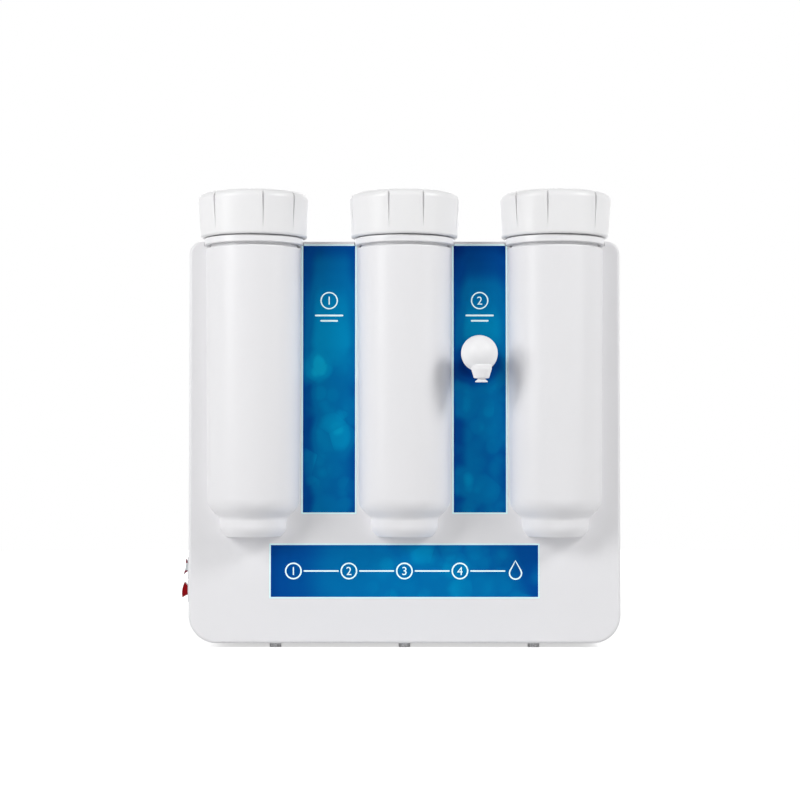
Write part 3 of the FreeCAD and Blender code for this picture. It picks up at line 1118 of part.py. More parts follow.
def bulkhead_unions():
    """Bulkhead push-in unions: flange outside, body through the back wall, a tube bore at each end."""
    made = []
    for name in UNION_XS:
        at = union_place(name)
        inner = at - V(0, UNION_INSIDE, 0)
        body = rod(UNION_RADIUS, UNION_INSIDE + UNION_REACH, inner, Y_AXIS)
        body = body.fuse(rod(UNION_FLANGE_RADIUS, UNION_FLANGE_HEIGHT, at, Y_AXIS))
        body = body.cut(rod(TUBE_BORE, UNION_INSIDE, inner, Y_AXIS))
        body = body.cut(rod(PUSH_FIT_BORE, UNION_REACH, at, Y_AXIS))
        made.append(body.cut(rod(PUSH_FIT_BORE, PORT_DEPTH, inner, Y_AXIS)).removeSplitter())
    return made


def union_nuts():
    """Nuts that clamp the unions from inside the back wall."""
    starts = [union_place(name) - V(0, WALL + UNION_NUT_HEIGHT, 0) for name in UNION_XS]
    return [hexagon_nut(UNION_NUT_FLATS, UNION_NUT_HEIGHT, UNION_RADIUS, start) for start in starts]


def union_collets():
    """Release collets at the mouths of the unions."""
    return [ring(COLLET_RADIUS, PUSH_FIT_BORE, COLLET_LIP, union_place(name) + V(0, UNION_REACH, 0), Y_AXIS)
            for name in UNION_XS]


def inlet_pin_places():
    """Where the three contact pins leave the floor of the inlet's cavity."""
    floor = V(INLET_X, BACK_Y + INLET_FLANGE[2] - INLET_CAVITY[2], INLET_Z)
    raises = ((-1, -INLET_PIN_RAISE), (0, INLET_PIN_RAISE), (1, -INLET_PIN_RAISE))
    return [floor + V(k * INLET_PIN_PITCH, 0, rise) for k, rise in raises]


def mains_inlet():
    """Snap-in appliance inlet in the back wall, open to the back."""
    width, thickness, height = INLET_FLANGE[0], INLET_FLANGE[2], INLET_FLANGE[1]
    flange = box(INLET_X, BACK_Y + thickness / 2, INLET_Z - height / 2, width, thickness, height)
    corners = [edge for edge in flange.Edges if abs(edge.Curve.Direction.y) > 0.9]
    flange = flange.makeFillet(thickness / 2, corners)
    width, height, depth = INLET_BODY
    whole = flange.fuse(box(INLET_X, BACK_Y - depth / 2, INLET_Z - height / 2, width, depth, height))
    width, height, depth = INLET_CAVITY
    cavity_y = BACK_Y + thickness - depth / 2
    whole = whole.cut(box(INLET_X, cavity_y, INLET_Z - height / 2, width, depth, height))
    width, height, _ = INLET_PIN
    for pin in inlet_pin_places():
        whole = whole.cut(box(pin.x, pin.y, pin.z - height / 2, width, 2 * INLET_BODY[2], height))
    return whole.removeSplitter()


def inlet_pins():
    """Three flat contact pins, through the inlet's floor to their solder tags."""
    width, height, length = INLET_PIN
    return [box(at.x, at.y + (length - INLET_TAG) / 2, at.z - height / 2, width, length + INLET_TAG, height)
            for at in inlet_pin_places()]


# ---------------------------------------------------------------- ports and tubing
def ports():
    """Mouth and outward direction of every push-in port inside the housing."""
    found = {}
    for side, x in CANISTER_XS.items():
        found[side + "_in"] = (V(x, FITTING_END_Y, INLET_PORT_Z), Y_AXIS)
        found[side + "_out"] = (V(x, FITTING_END_Y, OUTLET_PORT_Z), Y_AXIS)
    found["tap"] = (V(TAP_X, FITTING_END_Y, TAP_Z), Y_AXIS)
    pump_x = PUMP_AXIS.x + PUMP_HEAD_LENGTH + PUMP_CAP_LENGTH + PORT_STUB
    for name, side in (("pump_in", -1), ("pump_out", 1)):
        mouth = V(pump_x, PUMP_AXIS.y + side * PUMP_PORT_SPACING / 2, PUMP_AXIS.z + PUMP_PORT_RAISE)
        found[name] = (mouth, X_AXIS)
    found["membrane_out"] = (V(-VESSEL_LENGTH / 2 - PORT_STUB, VESSEL_Y, VESSEL_Z), -X_AXIS)
    cap_end_x = VESSEL_LENGTH / 2 + VESSEL_CAP_FLOOR
    found["membrane_in"] = (V(cap_end_x + PORT_STUB, VESSEL_Y, VESSEL_Z), X_AXIS)
    for name, x in VALVE_XS.items():
        port_z = SHEET_TOP_Z + VALVE_STANDOFF + VALVE_BLOCK[2] / 2
        for end, side in (("_valve_in", -1), ("_valve_out", 1)):
            mouth = V(x + side * (VALVE_BLOCK[0] / 2 + PORT_STUB), VALVE_Y, port_z)
            found[name + end] = (mouth, X_AXIS * side)
    found["feed_union"] = (union_place("feed") - V(0, UNION_INSIDE, 0), -Y_AXIS)
    return found


def with_ports(shape, names):
    """The shape with stubs for the named ports, each bored for its tube."""
    places = ports()
    for name in names:
        mouth, outward = places[name]
        root = mouth - outward * PORT_STUB
        shape = shape.fuse(rod(UNION_RADIUS, PORT_STUB, root, outward))
        shape = shape.cut(rod(TUBE_BORE, PORT_STUB + PORT_DEPTH, root - outward * PORT_DEPTH, outward))
        shape = shape.cut(rod(PUSH_FIT_BORE, PORT_DEPTH, mouth - outward * PORT_DEPTH, outward))
    return shape.removeSplitter()


def straight_fittings():
    """Push-in fittings in the rear ports of the canisters and on the end of the tap's shank."""
    made = []
    roots = {"in": BAY_TOP_RADIUS, "out": NOSE_TOP_RADIUS}
    for name, (mouth, outward) in ports().items():
        side, _, end = name.partition("_")
        if side in SIDES:
            root_y = PANEL_Y + roots[end] - CANISTER_OFFSET + TURN_GAP
            stub_root = V(mouth.x, root_y - CANISTER_WALL, mouth.z)
            stub = rod(PORT_RADIUS - JOINT_GAP, CANISTER_WALL, stub_root, outward)
        elif name == "tap":
            root_y = SHANK_Y + SHANK_LENGTH
            stub = None
        else:
            continue
        body = rod(UNION_RADIUS, mouth.y - root_y, V(mouth.x, root_y, mouth.z), outward)
        if stub:
            body = body.fuse(stub)
        body = body.cut(rod(TUBE_BORE, BODY_DEPTH, V(mouth.x, PANEL_Y, mouth.z), outward))
        body = body.cut(rod(PUSH_FIT_BORE, PORT_DEPTH, mouth - outward * PORT_DEPTH, outward))
        made.append(body.removeSplitter())
    return made


def swept(points, radius):
    """Round bar along straight runs, joined by tangent arcs at the inner points."""
    edges, start = [], points[0]
    for before, here, after in zip(points, points[1:], points[2:]):
        back, ahead = before - here, after - here
        reach = TUBE_BEND_SHARE * min(back.Length, ahead.Length)
        back, ahead = back.normalize(), ahead.normalize()
        half_angle = back.getAngle(ahead) / 2
        bend = reach * math.tan(half_angle)
        middle = here + (back + ahead).normalize() * (bend / math.sin(half_angle) - bend)
        edges.append(Part.LineSegment(start, here + back * reach).toShape())
        edges.append(Part.Arc(here + back * reach, middle, here + ahead * reach).toShape())
        start = here + ahead * reach
    edges.append(Part.LineSegment(start, points[-1]).toShape())
    section = Part.Wire(Part.Circle(points[0], points[1] - points[0], radius).toShape())
    return Part.Wire(edges).makePipeShell([section], True, False)


def water_tubes():
    """Tubes between the ports: each route is the list of its inner corner points."""
    near_y, middle_y = PLATE_BACK_Y + TUBE_NEAR, PLATE_BACK_Y + TUBE_MIDDLE
    far_x = HALF_WIDTH - TUBE_SIDE_ROOM
    left, middle, right = CANISTER_XS.values()
    places = ports()
    pump_in, pump_out = places["pump_in"][0], places["pump_out"][0]
    feed_in, feed_out = places["feed_valve_in"][0], places["feed_valve_out"][0]
    under_vessel_z = VESSEL_Z - VESSEL_RADIUS - TUBE_CLEAR
    routes = {
        ("feed_union", "feed_valve_in"): [
            V(UNION_XS["feed"], VESSEL_Y, UNION_Z), V(PUMP_AXIS.x, VESSEL_Y + TUBE_CLEAR, UNION_Z),
            V(feed_in.x - 2 * TUBE_CLEAR, VALVE_Y, feed_in.z)],
        ("feed_valve_out", "left_in"): [
            V(feed_out.x + TUBE_CLEAR, VALVE_Y, feed_out.z), V(feed_out.x + TUBE_CLEAR, VALVE_Y, VESSEL_Z),
            V(feed_out.x - TUBE_CLEAR, VALVE_Y, INLET_PORT_Z), V(left, VESSEL_Y, INLET_PORT_Z)],
        ("left_out", "middle_in"): [
            V(left, near_y, OUTLET_PORT_Z), V(left, near_y, OUTLET_PORT_Z + 2 * TUBE_CLEAR),
            V(middle, near_y, INLET_PORT_Z - 2 * TUBE_CLEAR), V(middle, near_y, INLET_PORT_Z)],
        ("middle_out", "pump_in"): [
            V(middle, pump_in.y, OUTLET_PORT_Z),
            V(middle + TUBE_CLEAR, pump_in.y, (OUTLET_PORT_Z + pump_in.z) / 2),
            V(middle + TUBE_CLEAR / 2, pump_in.y, pump_in.z)],
        ("pump_out", "membrane_in"): [
            V(-pump_out.x + 2 * TUBE_CLEAR, pump_out.y, pump_out.z),
            V(far_x, VESSEL_Y, VESSEL_Z - 4 * TUBE_CLEAR), V(far_x, VESSEL_Y, VESSEL_Z)],
        ("membrane_out", "right_in"): [
            V(-far_x, VESSEL_Y, VESSEL_Z), V(-far_x, middle_y, under_vessel_z),
            V(right - TUBE_CLEAR, middle_y, under_vessel_z),
            V(right, middle_y, under_vessel_z + TUBE_CLEAR / 2), V(right, middle_y, INLET_PORT_Z)],
        ("right_out", "tap"): [
            V(right, near_y, OUTLET_PORT_Z), V(right, near_y, (OUTLET_PORT_Z + TAP_Z) / 2),
            V(TAP_X, near_y, TAP_Z)],
    }
    made = []
    for (first, last), corners in routes.items():
        ends = [mouth - outward * TUBE_INSERT for mouth, outward in (places[first], places[last])]
        route = [ends[0]] + corners + [ends[1]]
        made.append(swept(route, TUBE_RADIUS).cut(swept(route, TUBE_BORE)))
    return made


def main():
    """Builds every piece and writes it out."""
    os.makedirs("parts", exist_ok=True)
    save("front_cover", front_cover())
    save("rear_shell", rear_shell())
    save("feet", feet())
    left_panel, right_panel, banner = printed_panels()
    save("left_panel_film", left_panel)
    save("right_panel_film", right_panel)
    save("banner_film", banner)
    one_canister, one_lid, one_seal = canister(), lid(), lid_seal()
    for side, x in CANISTER_XS.items():
        at = V(x, PANEL_Y, 0)
        save(side + "_canister", one_canister.translated(at))
        save(side + "_screw_cap", screw_cap(CAP_TURNS[side]).translated(at))
        save(side + "_lid", one_lid.translated(at))
        save(side + "_lid_seal", one_seal.translated(at))
        media, radius = MEDIA[side]
        save(media + "_cartridge", [piece.translated(at) for piece in cartridge(radius)])
    save("tap_stem", tap_stem())
    save("tap_rings", tap_rings())
    save("tap_ball", tap_ball())
    save("tap_nozzle", tap_nozzle())
    save("tap_washer", tap_washer())
    save("tap_nut", tap_nut())
    for name, place in switch_places().items():
        save(name + "_switch_body", switch_body(place))
        save(name + "_rocker", rocker(place, ROCKER_REACHES[name], ROCKER_RISES[name]))
    save("chassis", chassis())
    save("canister_saddles", saddles())
    save("rear_posts", rear_posts())
    save("housing_screws", housing_screws())
    save("pump_motor", pump_motor())
    save("pump_head", pump_head())
    save("pump_valve_cover", pump_valve_cover())
    save("pump_foot", pump_foot())
    save("pump_grommets", pump_grommets())
    save("pump_rotor", pump_rotor())
    save("membrane_vessel", membrane_vessel())
    save("membrane_vessel_cap", membrane_vessel_cap())
    save("membrane_element", membrane_element())
    save("membrane_clips", membrane_clips())
    save("valve_bodies", [valve_body(name) for name in VALVE_XS])
    save("valve_coils", [valve_coil(name) for name in VALVE_XS])
    for name in VALVE_XS:
        save(name + "_valve_plunger", rod(PLUNGER_RADIUS, PLUNGER_LENGTH, plunger_foot(name), Z_AXIS))
    save("power_supply", power_supply())
    save("control_board", control_board())
    save("board_standoffs", board_standoffs())
    save("pressure_switch", pressure_switch())
    save("bulkhead_unions", bulkhead_unions())
    save("union_nuts", union_nuts())
    save("union_collets", union_collets())
    save("mains_inlet", mains_inlet())
    save("inlet_pins", inlet_pins())
    save("straight_fittings", straight_fittings())
    save("water_tubes", water_tubes())


main()
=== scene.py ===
# %% [markdown]
# # A bench water purifier, dressed for its portrait
#
# The purifier arrives as a finished engineering model: every moulding, screw and seal already has its
# real size and place. This notebook only gives it its looks. It paints each piece with a procedural
# finish, prints the blue panels, inks their marks, and sets up a small white studio. Nothing here moves
# or resizes a part, so the purifier that is rendered is the one that could be built.

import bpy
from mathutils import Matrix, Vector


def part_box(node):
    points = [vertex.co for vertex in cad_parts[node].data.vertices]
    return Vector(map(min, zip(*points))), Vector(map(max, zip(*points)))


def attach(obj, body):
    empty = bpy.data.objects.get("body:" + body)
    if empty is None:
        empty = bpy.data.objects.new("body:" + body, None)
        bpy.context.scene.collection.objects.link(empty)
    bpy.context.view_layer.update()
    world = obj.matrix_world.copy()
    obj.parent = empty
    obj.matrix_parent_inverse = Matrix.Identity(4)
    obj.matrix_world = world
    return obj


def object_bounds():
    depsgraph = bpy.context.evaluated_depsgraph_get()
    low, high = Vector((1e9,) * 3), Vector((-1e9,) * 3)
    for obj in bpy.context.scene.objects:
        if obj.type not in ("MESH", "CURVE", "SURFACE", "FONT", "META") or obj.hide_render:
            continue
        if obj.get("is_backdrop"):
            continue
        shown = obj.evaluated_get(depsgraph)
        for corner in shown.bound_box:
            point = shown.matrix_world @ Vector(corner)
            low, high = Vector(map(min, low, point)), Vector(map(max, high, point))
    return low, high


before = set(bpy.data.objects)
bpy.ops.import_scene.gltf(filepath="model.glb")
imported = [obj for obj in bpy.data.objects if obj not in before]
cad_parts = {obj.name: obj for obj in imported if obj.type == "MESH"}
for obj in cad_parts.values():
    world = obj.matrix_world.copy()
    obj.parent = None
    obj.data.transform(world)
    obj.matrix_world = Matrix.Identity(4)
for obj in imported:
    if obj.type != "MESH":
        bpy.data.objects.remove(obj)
cad_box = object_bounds()

# %% [markdown]
# ## Working units and a few handy places
#
# The model is in metres, but a moulder thinks in millimetres. One constant, `MM`, turns one into the
# other, so that a number in a later cell reads as it would on a drawing. Places are asked from the model
# by a node's name instead of being typed again: if the drawing changes, the paint follows.

# %% Units and places
import math

import bmesh
import bpy
from mathutils import Matrix, Vector

MM = 0.001
SIDES = ("left", "middle", "right")


def middle_of(node_name):
    """Centre of a node's box."""
    low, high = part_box(node_name)
    return (low + high) / 2


def placed(name, data):
    """A new object that holds data, linked to the scene."""
    made = bpy.data.objects.new(name, data)
    bpy.context.scene.collection.objects.link(made)
    return made


cover_low, cover_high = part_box("front_cover")
print("front cover, mm:", [round(v / MM, 1) for v in cover_high - cover_low])

# %% [markdown]
# ## The camera
#
# Such a machine shows best through a long lens, square to its front, a little below the middle of its
# height, and tilted up by about two degrees. The long lens keeps the three round bays from leaning apart.
# Aiming with angles, rather than with a tracking constraint, keeps the upright edges exactly as upright
# as the tilt makes them.

# %% Camera
CAMERA_PLACE = (0.0043, -1.964, 0.170)
CAMERA_TILT = math.radians(1.824)
CAMERA_TURN = math.radians(0.248)
IMAGE_WIDTH = 800
SENSOR_WIDTH = 36.0
FOCAL_PIXELS = 2077.7

camera_data = bpy.data.cameras.new("portrait_lens")
camera_data.sensor_width = SENSOR_WIDTH
camera_data.lens = FOCAL_PIXELS * SENSOR_WIDTH / IMAGE_WIDTH
camera = placed("portrait_camera", camera_data)
camera.location = CAMERA_PLACE
camera.rotation_euler = (math.pi / 2 + CAMERA_TILT, 0.0, CAMERA_TURN)
bpy.context.scene.camera = camera
print("lens, mm:", round(camera_data.lens, 1))

# %% [markdown]
# ## Wiring shaders like sums
#
# A procedural finish is a network of small boxes. Wired by hand it is hard to read back, so one small
# class stands for the output of a box and lets it be used in a sum: `1 - mask` adds a Subtract box,
# `grain * 0.2` a Multiply box. Only plain values may be summed in this way. A Math box would turn a
# colour grey, so colours go through Mix boxes and directions through Vector Math boxes.

# %% A socket that can be used in sums
class Flow:
    """The output of a shader node. Sums of flows and numbers add Math nodes to the same tree."""

    def __init__(self, tree, socket):
        self.tree = tree
        self.socket = socket

    def math(self, operation, first, second=None):
        sockets = {0: first} if second is None else {0: first, 1: second}
        return node(self.tree, "Math", {"operation": operation}, sockets)

    def __add__(self, other):
        return self.math("ADD", self, other)

    def __sub__(self, other):
        return self.math("SUBTRACT", self, other)

    def __rsub__(self, other):
        return self.math("SUBTRACT", other, self)

    def __mul__(self, other):
        return self.math("MULTIPLY", self, other)

    def __truediv__(self, other):
        return self.math("DIVIDE", self, other)

    def __pow__(self, other):
        return self.math("POWER", self, other)

    def __abs__(self):
        return self.math("ABSOLUTE", self)

    __radd__ = __add__
    __rmul__ = __mul__

    def smaller(self, other):
        return self.math("MINIMUM", self, other)

    def larger(self, other):
        return self.math("MAXIMUM", self, other)

    def sine(self):
        return self.math("SINE", self)


def node(tree, kind, settings=None, sockets=None, output=0):
    """Adds one shader node: its settings first, then the value or link of each socket."""
    made = tree.nodes.new("ShaderNode" + kind)
    for name, value in (settings or {}).items():
        if name == "stops":
            set_stops(made.color_ramp, value)
        else:
            setattr(made, name, value)
    for name, value in (sockets or {}).items():
        if isinstance(value, Flow):
            tree.links.new(value.socket, made.inputs[name])
        else:
            made.inputs[name].default_value = value
    return Flow(tree, made.outputs[output]) if made.outputs else None


def set_stops(ramp, stops):
    """Gives a colour ramp its (position, colour) stops."""
    ramp.interpolation = "EASE"
    while len(ramp.elements) < len(stops):
        ramp.elements.new(1.0)
    for element, (position, colour) in zip(ramp.elements, stops):
        element.position = position
        element.color = (*colour, 1.0)


def mixed(tree, share, first, second):
    """The colour that lies a share of the way from first to second."""
    sockets = {0: share, 6: first, 7: second}
    return node(tree, "Mix", {"data_type": "RGBA"}, sockets, output=2)


print("flows ready")

# %% [markdown]
# ## The studio
#
# The machine stands on a white sweep, as in a product shoot. Two softboxes light it from the left and the
# right, high enough that the tap throws a soft shadow down and sideways on both of its neighbours. Lower
# down, a weaker one on each side reaches into the flanks of the round bays. A wide one behind lights the
# back, and the room gives the rest.
#
# A white background could be had by adding light until it clips, but then the white plastic clips too.
# Instead, the camera and the reflections see a world of strength 1, and the light on the machine stays at
# a plain level. The floor glows a little for the camera only, so it reads as white and keeps the shadow.

# %% World
ROOM_LIGHT = 0.23
WHITE = (1.0, 1.0, 1.0, 1.0)

world = bpy.data.worlds.new("white_room")
world.use_nodes = True
bpy.context.scene.world = world
sky = world.node_tree
sky.nodes.clear()
seen_by_camera = node(sky, "LightPath", output="Is Camera Ray")
seen_in_gloss = node(sky, "LightPath", output="Is Glossy Ray")
seen_through = node(sky, "LightPath", output="Is Transmission Ray")
seen = seen_by_camera.larger(seen_in_gloss).larger(seen_through)
room = node(sky, "Background", {}, {"Color": WHITE, "Strength": ROOM_LIGHT})
backdrop = node(sky, "Background", {}, {"Color": WHITE, "Strength": 1.0})
node(sky, "OutputWorld", {}, {"Surface": node(sky, "MixShader", {}, {0: seen, 1: room, 2: backdrop})})
print("room light:", ROOM_LIGHT)

# %% Softboxes
SOFTBOXES = {  # place in metres, width in metres, watts
    "key_softbox": ((-1.80, -1.70, 1.50), 0.8, 23.0),
    "fill_softbox": ((2.10, -1.20, 1.75), 0.8, 32.5),
    "left_flank_softbox": ((-2.10, -1.30, 0.80), 0.8, 16.0),
    "right_flank_softbox": ((2.10, -1.30, 0.80), 0.8, 5.5),
    "back_softbox": ((0.0, 2.50, 0.90), 2.0, 22.0),
}
LIGHT_TARGET = Vector((0.0, 0.0, 0.20))


def softbox(name, place, width, watts):
    """A square area lamp that looks at the machine."""
    lamp = bpy.data.lights.new(name, "AREA")
    lamp.shape = "SQUARE"
    lamp.size = width
    lamp.energy = watts
    holder = placed(name, lamp)
    holder.location = place
    holder.rotation_euler = (LIGHT_TARGET - Vector(place)).to_track_quat("-Z", "Y").to_euler()
    print(name, watts, "W")


for softbox_name, (place, width, watts) in SOFTBOXES.items():
    softbox(softbox_name, place, width, watts)

# %% Floor
FLOOR_RADIUS = 2.3
FLOOR_GLOW = 0.62
FLOOR_SIDES = 96
ROLLER_SCALE = 6.0  # patches to a metre
ROLLER_GREYS = ((0.80, 0.80, 0.80, 1.0), (0.83, 0.83, 0.83, 1.0))


def studio_floor():
    """A wide disc under the feet, small enough to end inside the reach of the lamps."""
    mesh = bpy.data.meshes.new("studio_floor")
    form = bmesh.new()
    bmesh.ops.create_circle(form, cap_ends=True, segments=FLOOR_SIDES, radius=FLOOR_RADIUS)
    form.to_mesh(mesh)
    form.free()
    return placed("studio_floor", mesh)


def floor_paint():
    """Matt white paint that shows shadows, with a glow that only the camera sees."""
    material = bpy.data.materials.new("floor_paint")
    material.use_nodes = True
    tree = material.node_tree
    tree.nodes.clear()
    spot = node(tree, "TexCoord", output="Object")
    roller = node(tree, "TexNoise", {}, {"Vector": spot, "Scale": ROLLER_SCALE, "Detail": 4.0})
    colour = mixed(tree, roller, *ROLLER_GREYS)
    paint = node(tree, "BsdfDiffuse", {}, {"Color": colour})
    camera_only = node(tree, "LightPath", output="Is Camera Ray") * FLOOR_GLOW
    glow = node(tree, "Emission", {}, {"Color": WHITE, "Strength": camera_only})
    node(tree, "OutputMaterial", {}, {"Surface": node(tree, "AddShader", {}, {0: paint, 1: glow})})
    return material


floor = studio_floor()
floor.data.materials.append(floor_paint())
floor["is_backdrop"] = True
bpy.context.scene.view_settings.view_transform = "Standard"
print("floor, m across:", 2 * FLOOR_RADIUS)

# %% [markdown]
# ## The painter's table
#
# Every finish starts the same way: an empty material with one Principled shader, and the place of each
# point in the model's own coordinates. Those coordinates ride with a part when it moves, so the grain of
# a cap turns with the cap. They also need no unwrapping, which suits solids that came from a drawing.
# Small methods then make the things that finishes are mixed from: clouds of noise, cells, ramps, the
# angle round an axis, and a bump whose height is given in millimetres.

# %% Starting a finish
class Finish:
    """A material in the making: its tree, its shader and the point that is being shaded."""

    def __init__(self, name):
        self.material = bpy.data.materials.new(name)
        self.material.use_nodes = True
        self.tree = self.material.node_tree
        self.tree.nodes.clear()
        self.spot = self.node("TexCoord", output="Object")
        self.shader = self.tree.nodes.new("ShaderNodeBsdfPrincipled")
        self.node("OutputMaterial", {}, {"Surface": Flow(self.tree, self.shader.outputs[0])})

    def node(self, kind, settings=None, sockets=None, output=0):
        return node(self.tree, kind, settings, sockets, output)

    def finished(self, **sockets):
        """Sets the shader's sockets, with _ for the spaces in their names, and hands over the material."""
        for name, value in sockets.items():
            socket = self.shader.inputs[name.replace("_", " ")]
            if isinstance(value, Flow):
                self.tree.links.new(value.socket, socket)
            else:
                socket.default_value = value
        return self.material

    def scaled(self, size, stretch=(1.0, 1.0, 1.0), shift=0.0):
        """The point, counted in steps of size millimetres, each axis divided by its stretch."""
        steps = tuple(1.0 / (size * MM * along) for along in stretch)
        counted = self.node("VectorMath", {"operation": "MULTIPLY"}, {0: self.spot, 1: steps})
        return self.node("VectorMath", {"operation": "ADD"}, {0: counted, 1: (shift, shift, -shift)})

    def cloud(self, size, detail=2.0, stretch=(1.0, 1.0, 1.0)):
        """Soft noise from 0 to 1 whose blots are about size millimetres wide."""
        sockets = {"Vector": self.scaled(size, stretch), "Scale": 1.0, "Detail": detail}
        return self.node("TexNoise", {}, sockets)

    def cells(self, size, feature="F1", stretch=(1.0, 1.0, 1.0), randomness=1.0, shift=0.0):
        """Distance from cell centres, or from cell edges, in cells about size millimetres wide."""
        sockets = {"Vector": self.scaled(size, stretch, shift), "Scale": 1.0, "Randomness": randomness}
        return self.node("TexVoronoi", {"feature": feature}, sockets, "Distance")

    def luck(self, size, randomness=1.0, shift=0.0):
        """A number from 0 to 1 that is drawn anew for each cell."""
        sockets = {"Vector": self.scaled(size, shift=shift), "Scale": 1.0, "Randomness": randomness}
        drawn = self.node("TexVoronoi", {}, sockets, "Color")
        return self.node("SeparateColor", {}, {0: drawn})

    def stripes(self, along, pitch, detail=1.0):
        """Noise that changes in one direction only, about every pitch millimetres."""
        sockets = {"W": along / (pitch * MM), "Scale": 1.0, "Detail": detail}
        return self.node("TexNoise", {"noise_dimensions": "1D"}, sockets)

    def axes(self):
        """The point's x, y and z, in metres."""
        return [self.node("SeparateXYZ", {}, {0: self.spot}, axis) for axis in range(3)]

    def round_axis(self, middle, axis=2):
        """Distance from the line through middle along an axis, and the angle round it."""
        across = [k for k in range(3) if k != axis]
        first, second = (self.axes()[k] - middle[k] for k in across)
        angle = self.node("Math", {"operation": "ARCTAN2"}, {0: second, 1: first})
        return (first * first + second * second) ** 0.5, angle

    def between(self, value, low, high):
        """0 below low, 1 above high and a smooth ramp in between."""
        sockets = {"Value": value, "From Min": low, "From Max": high}
        return self.node("MapRange", {"interpolation_type": "SMOOTHSTEP"}, sockets)

    def ramp(self, share, stops):
        return self.node("ValToRGB", {"stops": stops}, {0: share})

    def mix(self, share, first, second):
        """The colour that lies a share of the way from first to second."""
        return mixed(self.tree, share, first, second)

    def shades(self, share, colour, darker, lighter):
        """A colour made darker where share is 0 and lighter where it is 1."""
        return self.mix(share, tone(colour, -darker), tone(colour, lighter))

    def bump(self, height):
        """A normal from a height in millimetres."""
        return self.node("Bump", {}, {"Height": height, "Distance": MM, "Strength": 1.0})


print("a finish can be started")

# %% Tones and painting
def tone(colour, share):
    """A colour made lighter or darker by a share of itself."""
    return (*(min(1.0, channel * (1.0 + share)) for channel in colour), 1.0)


painted = set()


def paint(material, *node_names):
    """Puts a finish on nodes of the model."""
    for node_name in node_names:
        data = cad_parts[node_name].data
        data.materials.clear()
        data.materials.append(material)
        painted.add(node_name)


print("nodes to paint:", len(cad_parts))

# %% [markdown]
# ## Moulded plastic
#
# Most of what shows is injection-moulded plastic. Up close it is never flat: the steel mould was eroded
# by sparks, which leaves a fine pebbled grain; the skin ripples faintly where the wall shrank; the melt's
# flow leaves slow changes of tone; and hands leave patches that shine a little more. Each of these is one
# cloud of noise at its own real size. The grain and the ripple only bend the light, through a bump, since
# they are too fine to be worth a mesh. Where two mouldings meet, their edges are broken by a hair: at the
# seam's own place a shallow groove goes to the bump, and a thin dark line of painted shade to the colour.

# %% Moulded plastic
GRAIN_SIZE = 0.45
RIPPLE_SIZE = 11.0
FLOW_SIZE = 85.0
TOUCH_SIZE = 24.0
SPECK_SIZE = 1.6
SPECK_EDGE = (0.62, 0.78)  # the noise at which a speck starts and is full
SEAM_WIDTH = 0.45  # to each side of the parting line
SEAM_DEPTH = 0.3
PLASTIC_IOR = 1.49


def moulded(name, colour, shine=0.38, grain=0.012, ripple=0.02, drift=0.012, touch=0.05, seam=None):
    """Spark-eroded plastic: grain and ripple in mm, touch in roughness, and its seam's y if it has one."""
    made = Finish(name)
    pebbles = made.cloud(GRAIN_SIZE, detail=1.0)
    swell = made.cloud(RIPPLE_SIZE, detail=1.0)
    flow = made.cloud(FLOW_SIZE, detail=3.0)
    touched = made.cloud(TOUCH_SIZE, detail=4.0)
    specks = made.between(made.cloud(SPECK_SIZE), *SPECK_EDGE)
    base = made.shades(flow, colour, drift, drift)
    seam_groove_and_shade = 0.0
    if seam is not None:
        seam_groove_and_shade = made.between(abs(made.axes()[1] - seam), SEAM_WIDTH * MM, 0.4 * SEAM_WIDTH * MM)
        # painted shade: a thin dark line along the seam's groove
        base = made.mix(seam_groove_and_shade * 0.7, base, tone(colour, -0.75))
    return made.finished(
        Base_Color=made.mix(specks * 0.25, base, tone(colour, -3 * drift)),
        Roughness=(touched - 0.5) * (2 * touch) + shine,
        Normal=made.bump(pebbles * grain + swell * ripple - seam_groove_and_shade * SEAM_DEPTH),
        IOR=PLASTIC_IOR,
    )


print("moulded plastic: grain", GRAIN_SIZE, "mm, ripple", RIPPLE_SIZE, "mm")

# %% [markdown]
# ## The white housing and the other mouldings
#
# The cover, the shell and the canisters come from different moulds and batches, so their whites differ by
# a hair: the cover is the brightest, the shell a little greyer, the fittings milkier. Small inner parts
# are moulded as well, in whatever colour was in the machine. One table says what each is: its colour, how
# matt it is, how deep its grain is, and which pieces wear it. A loop then does the painting.

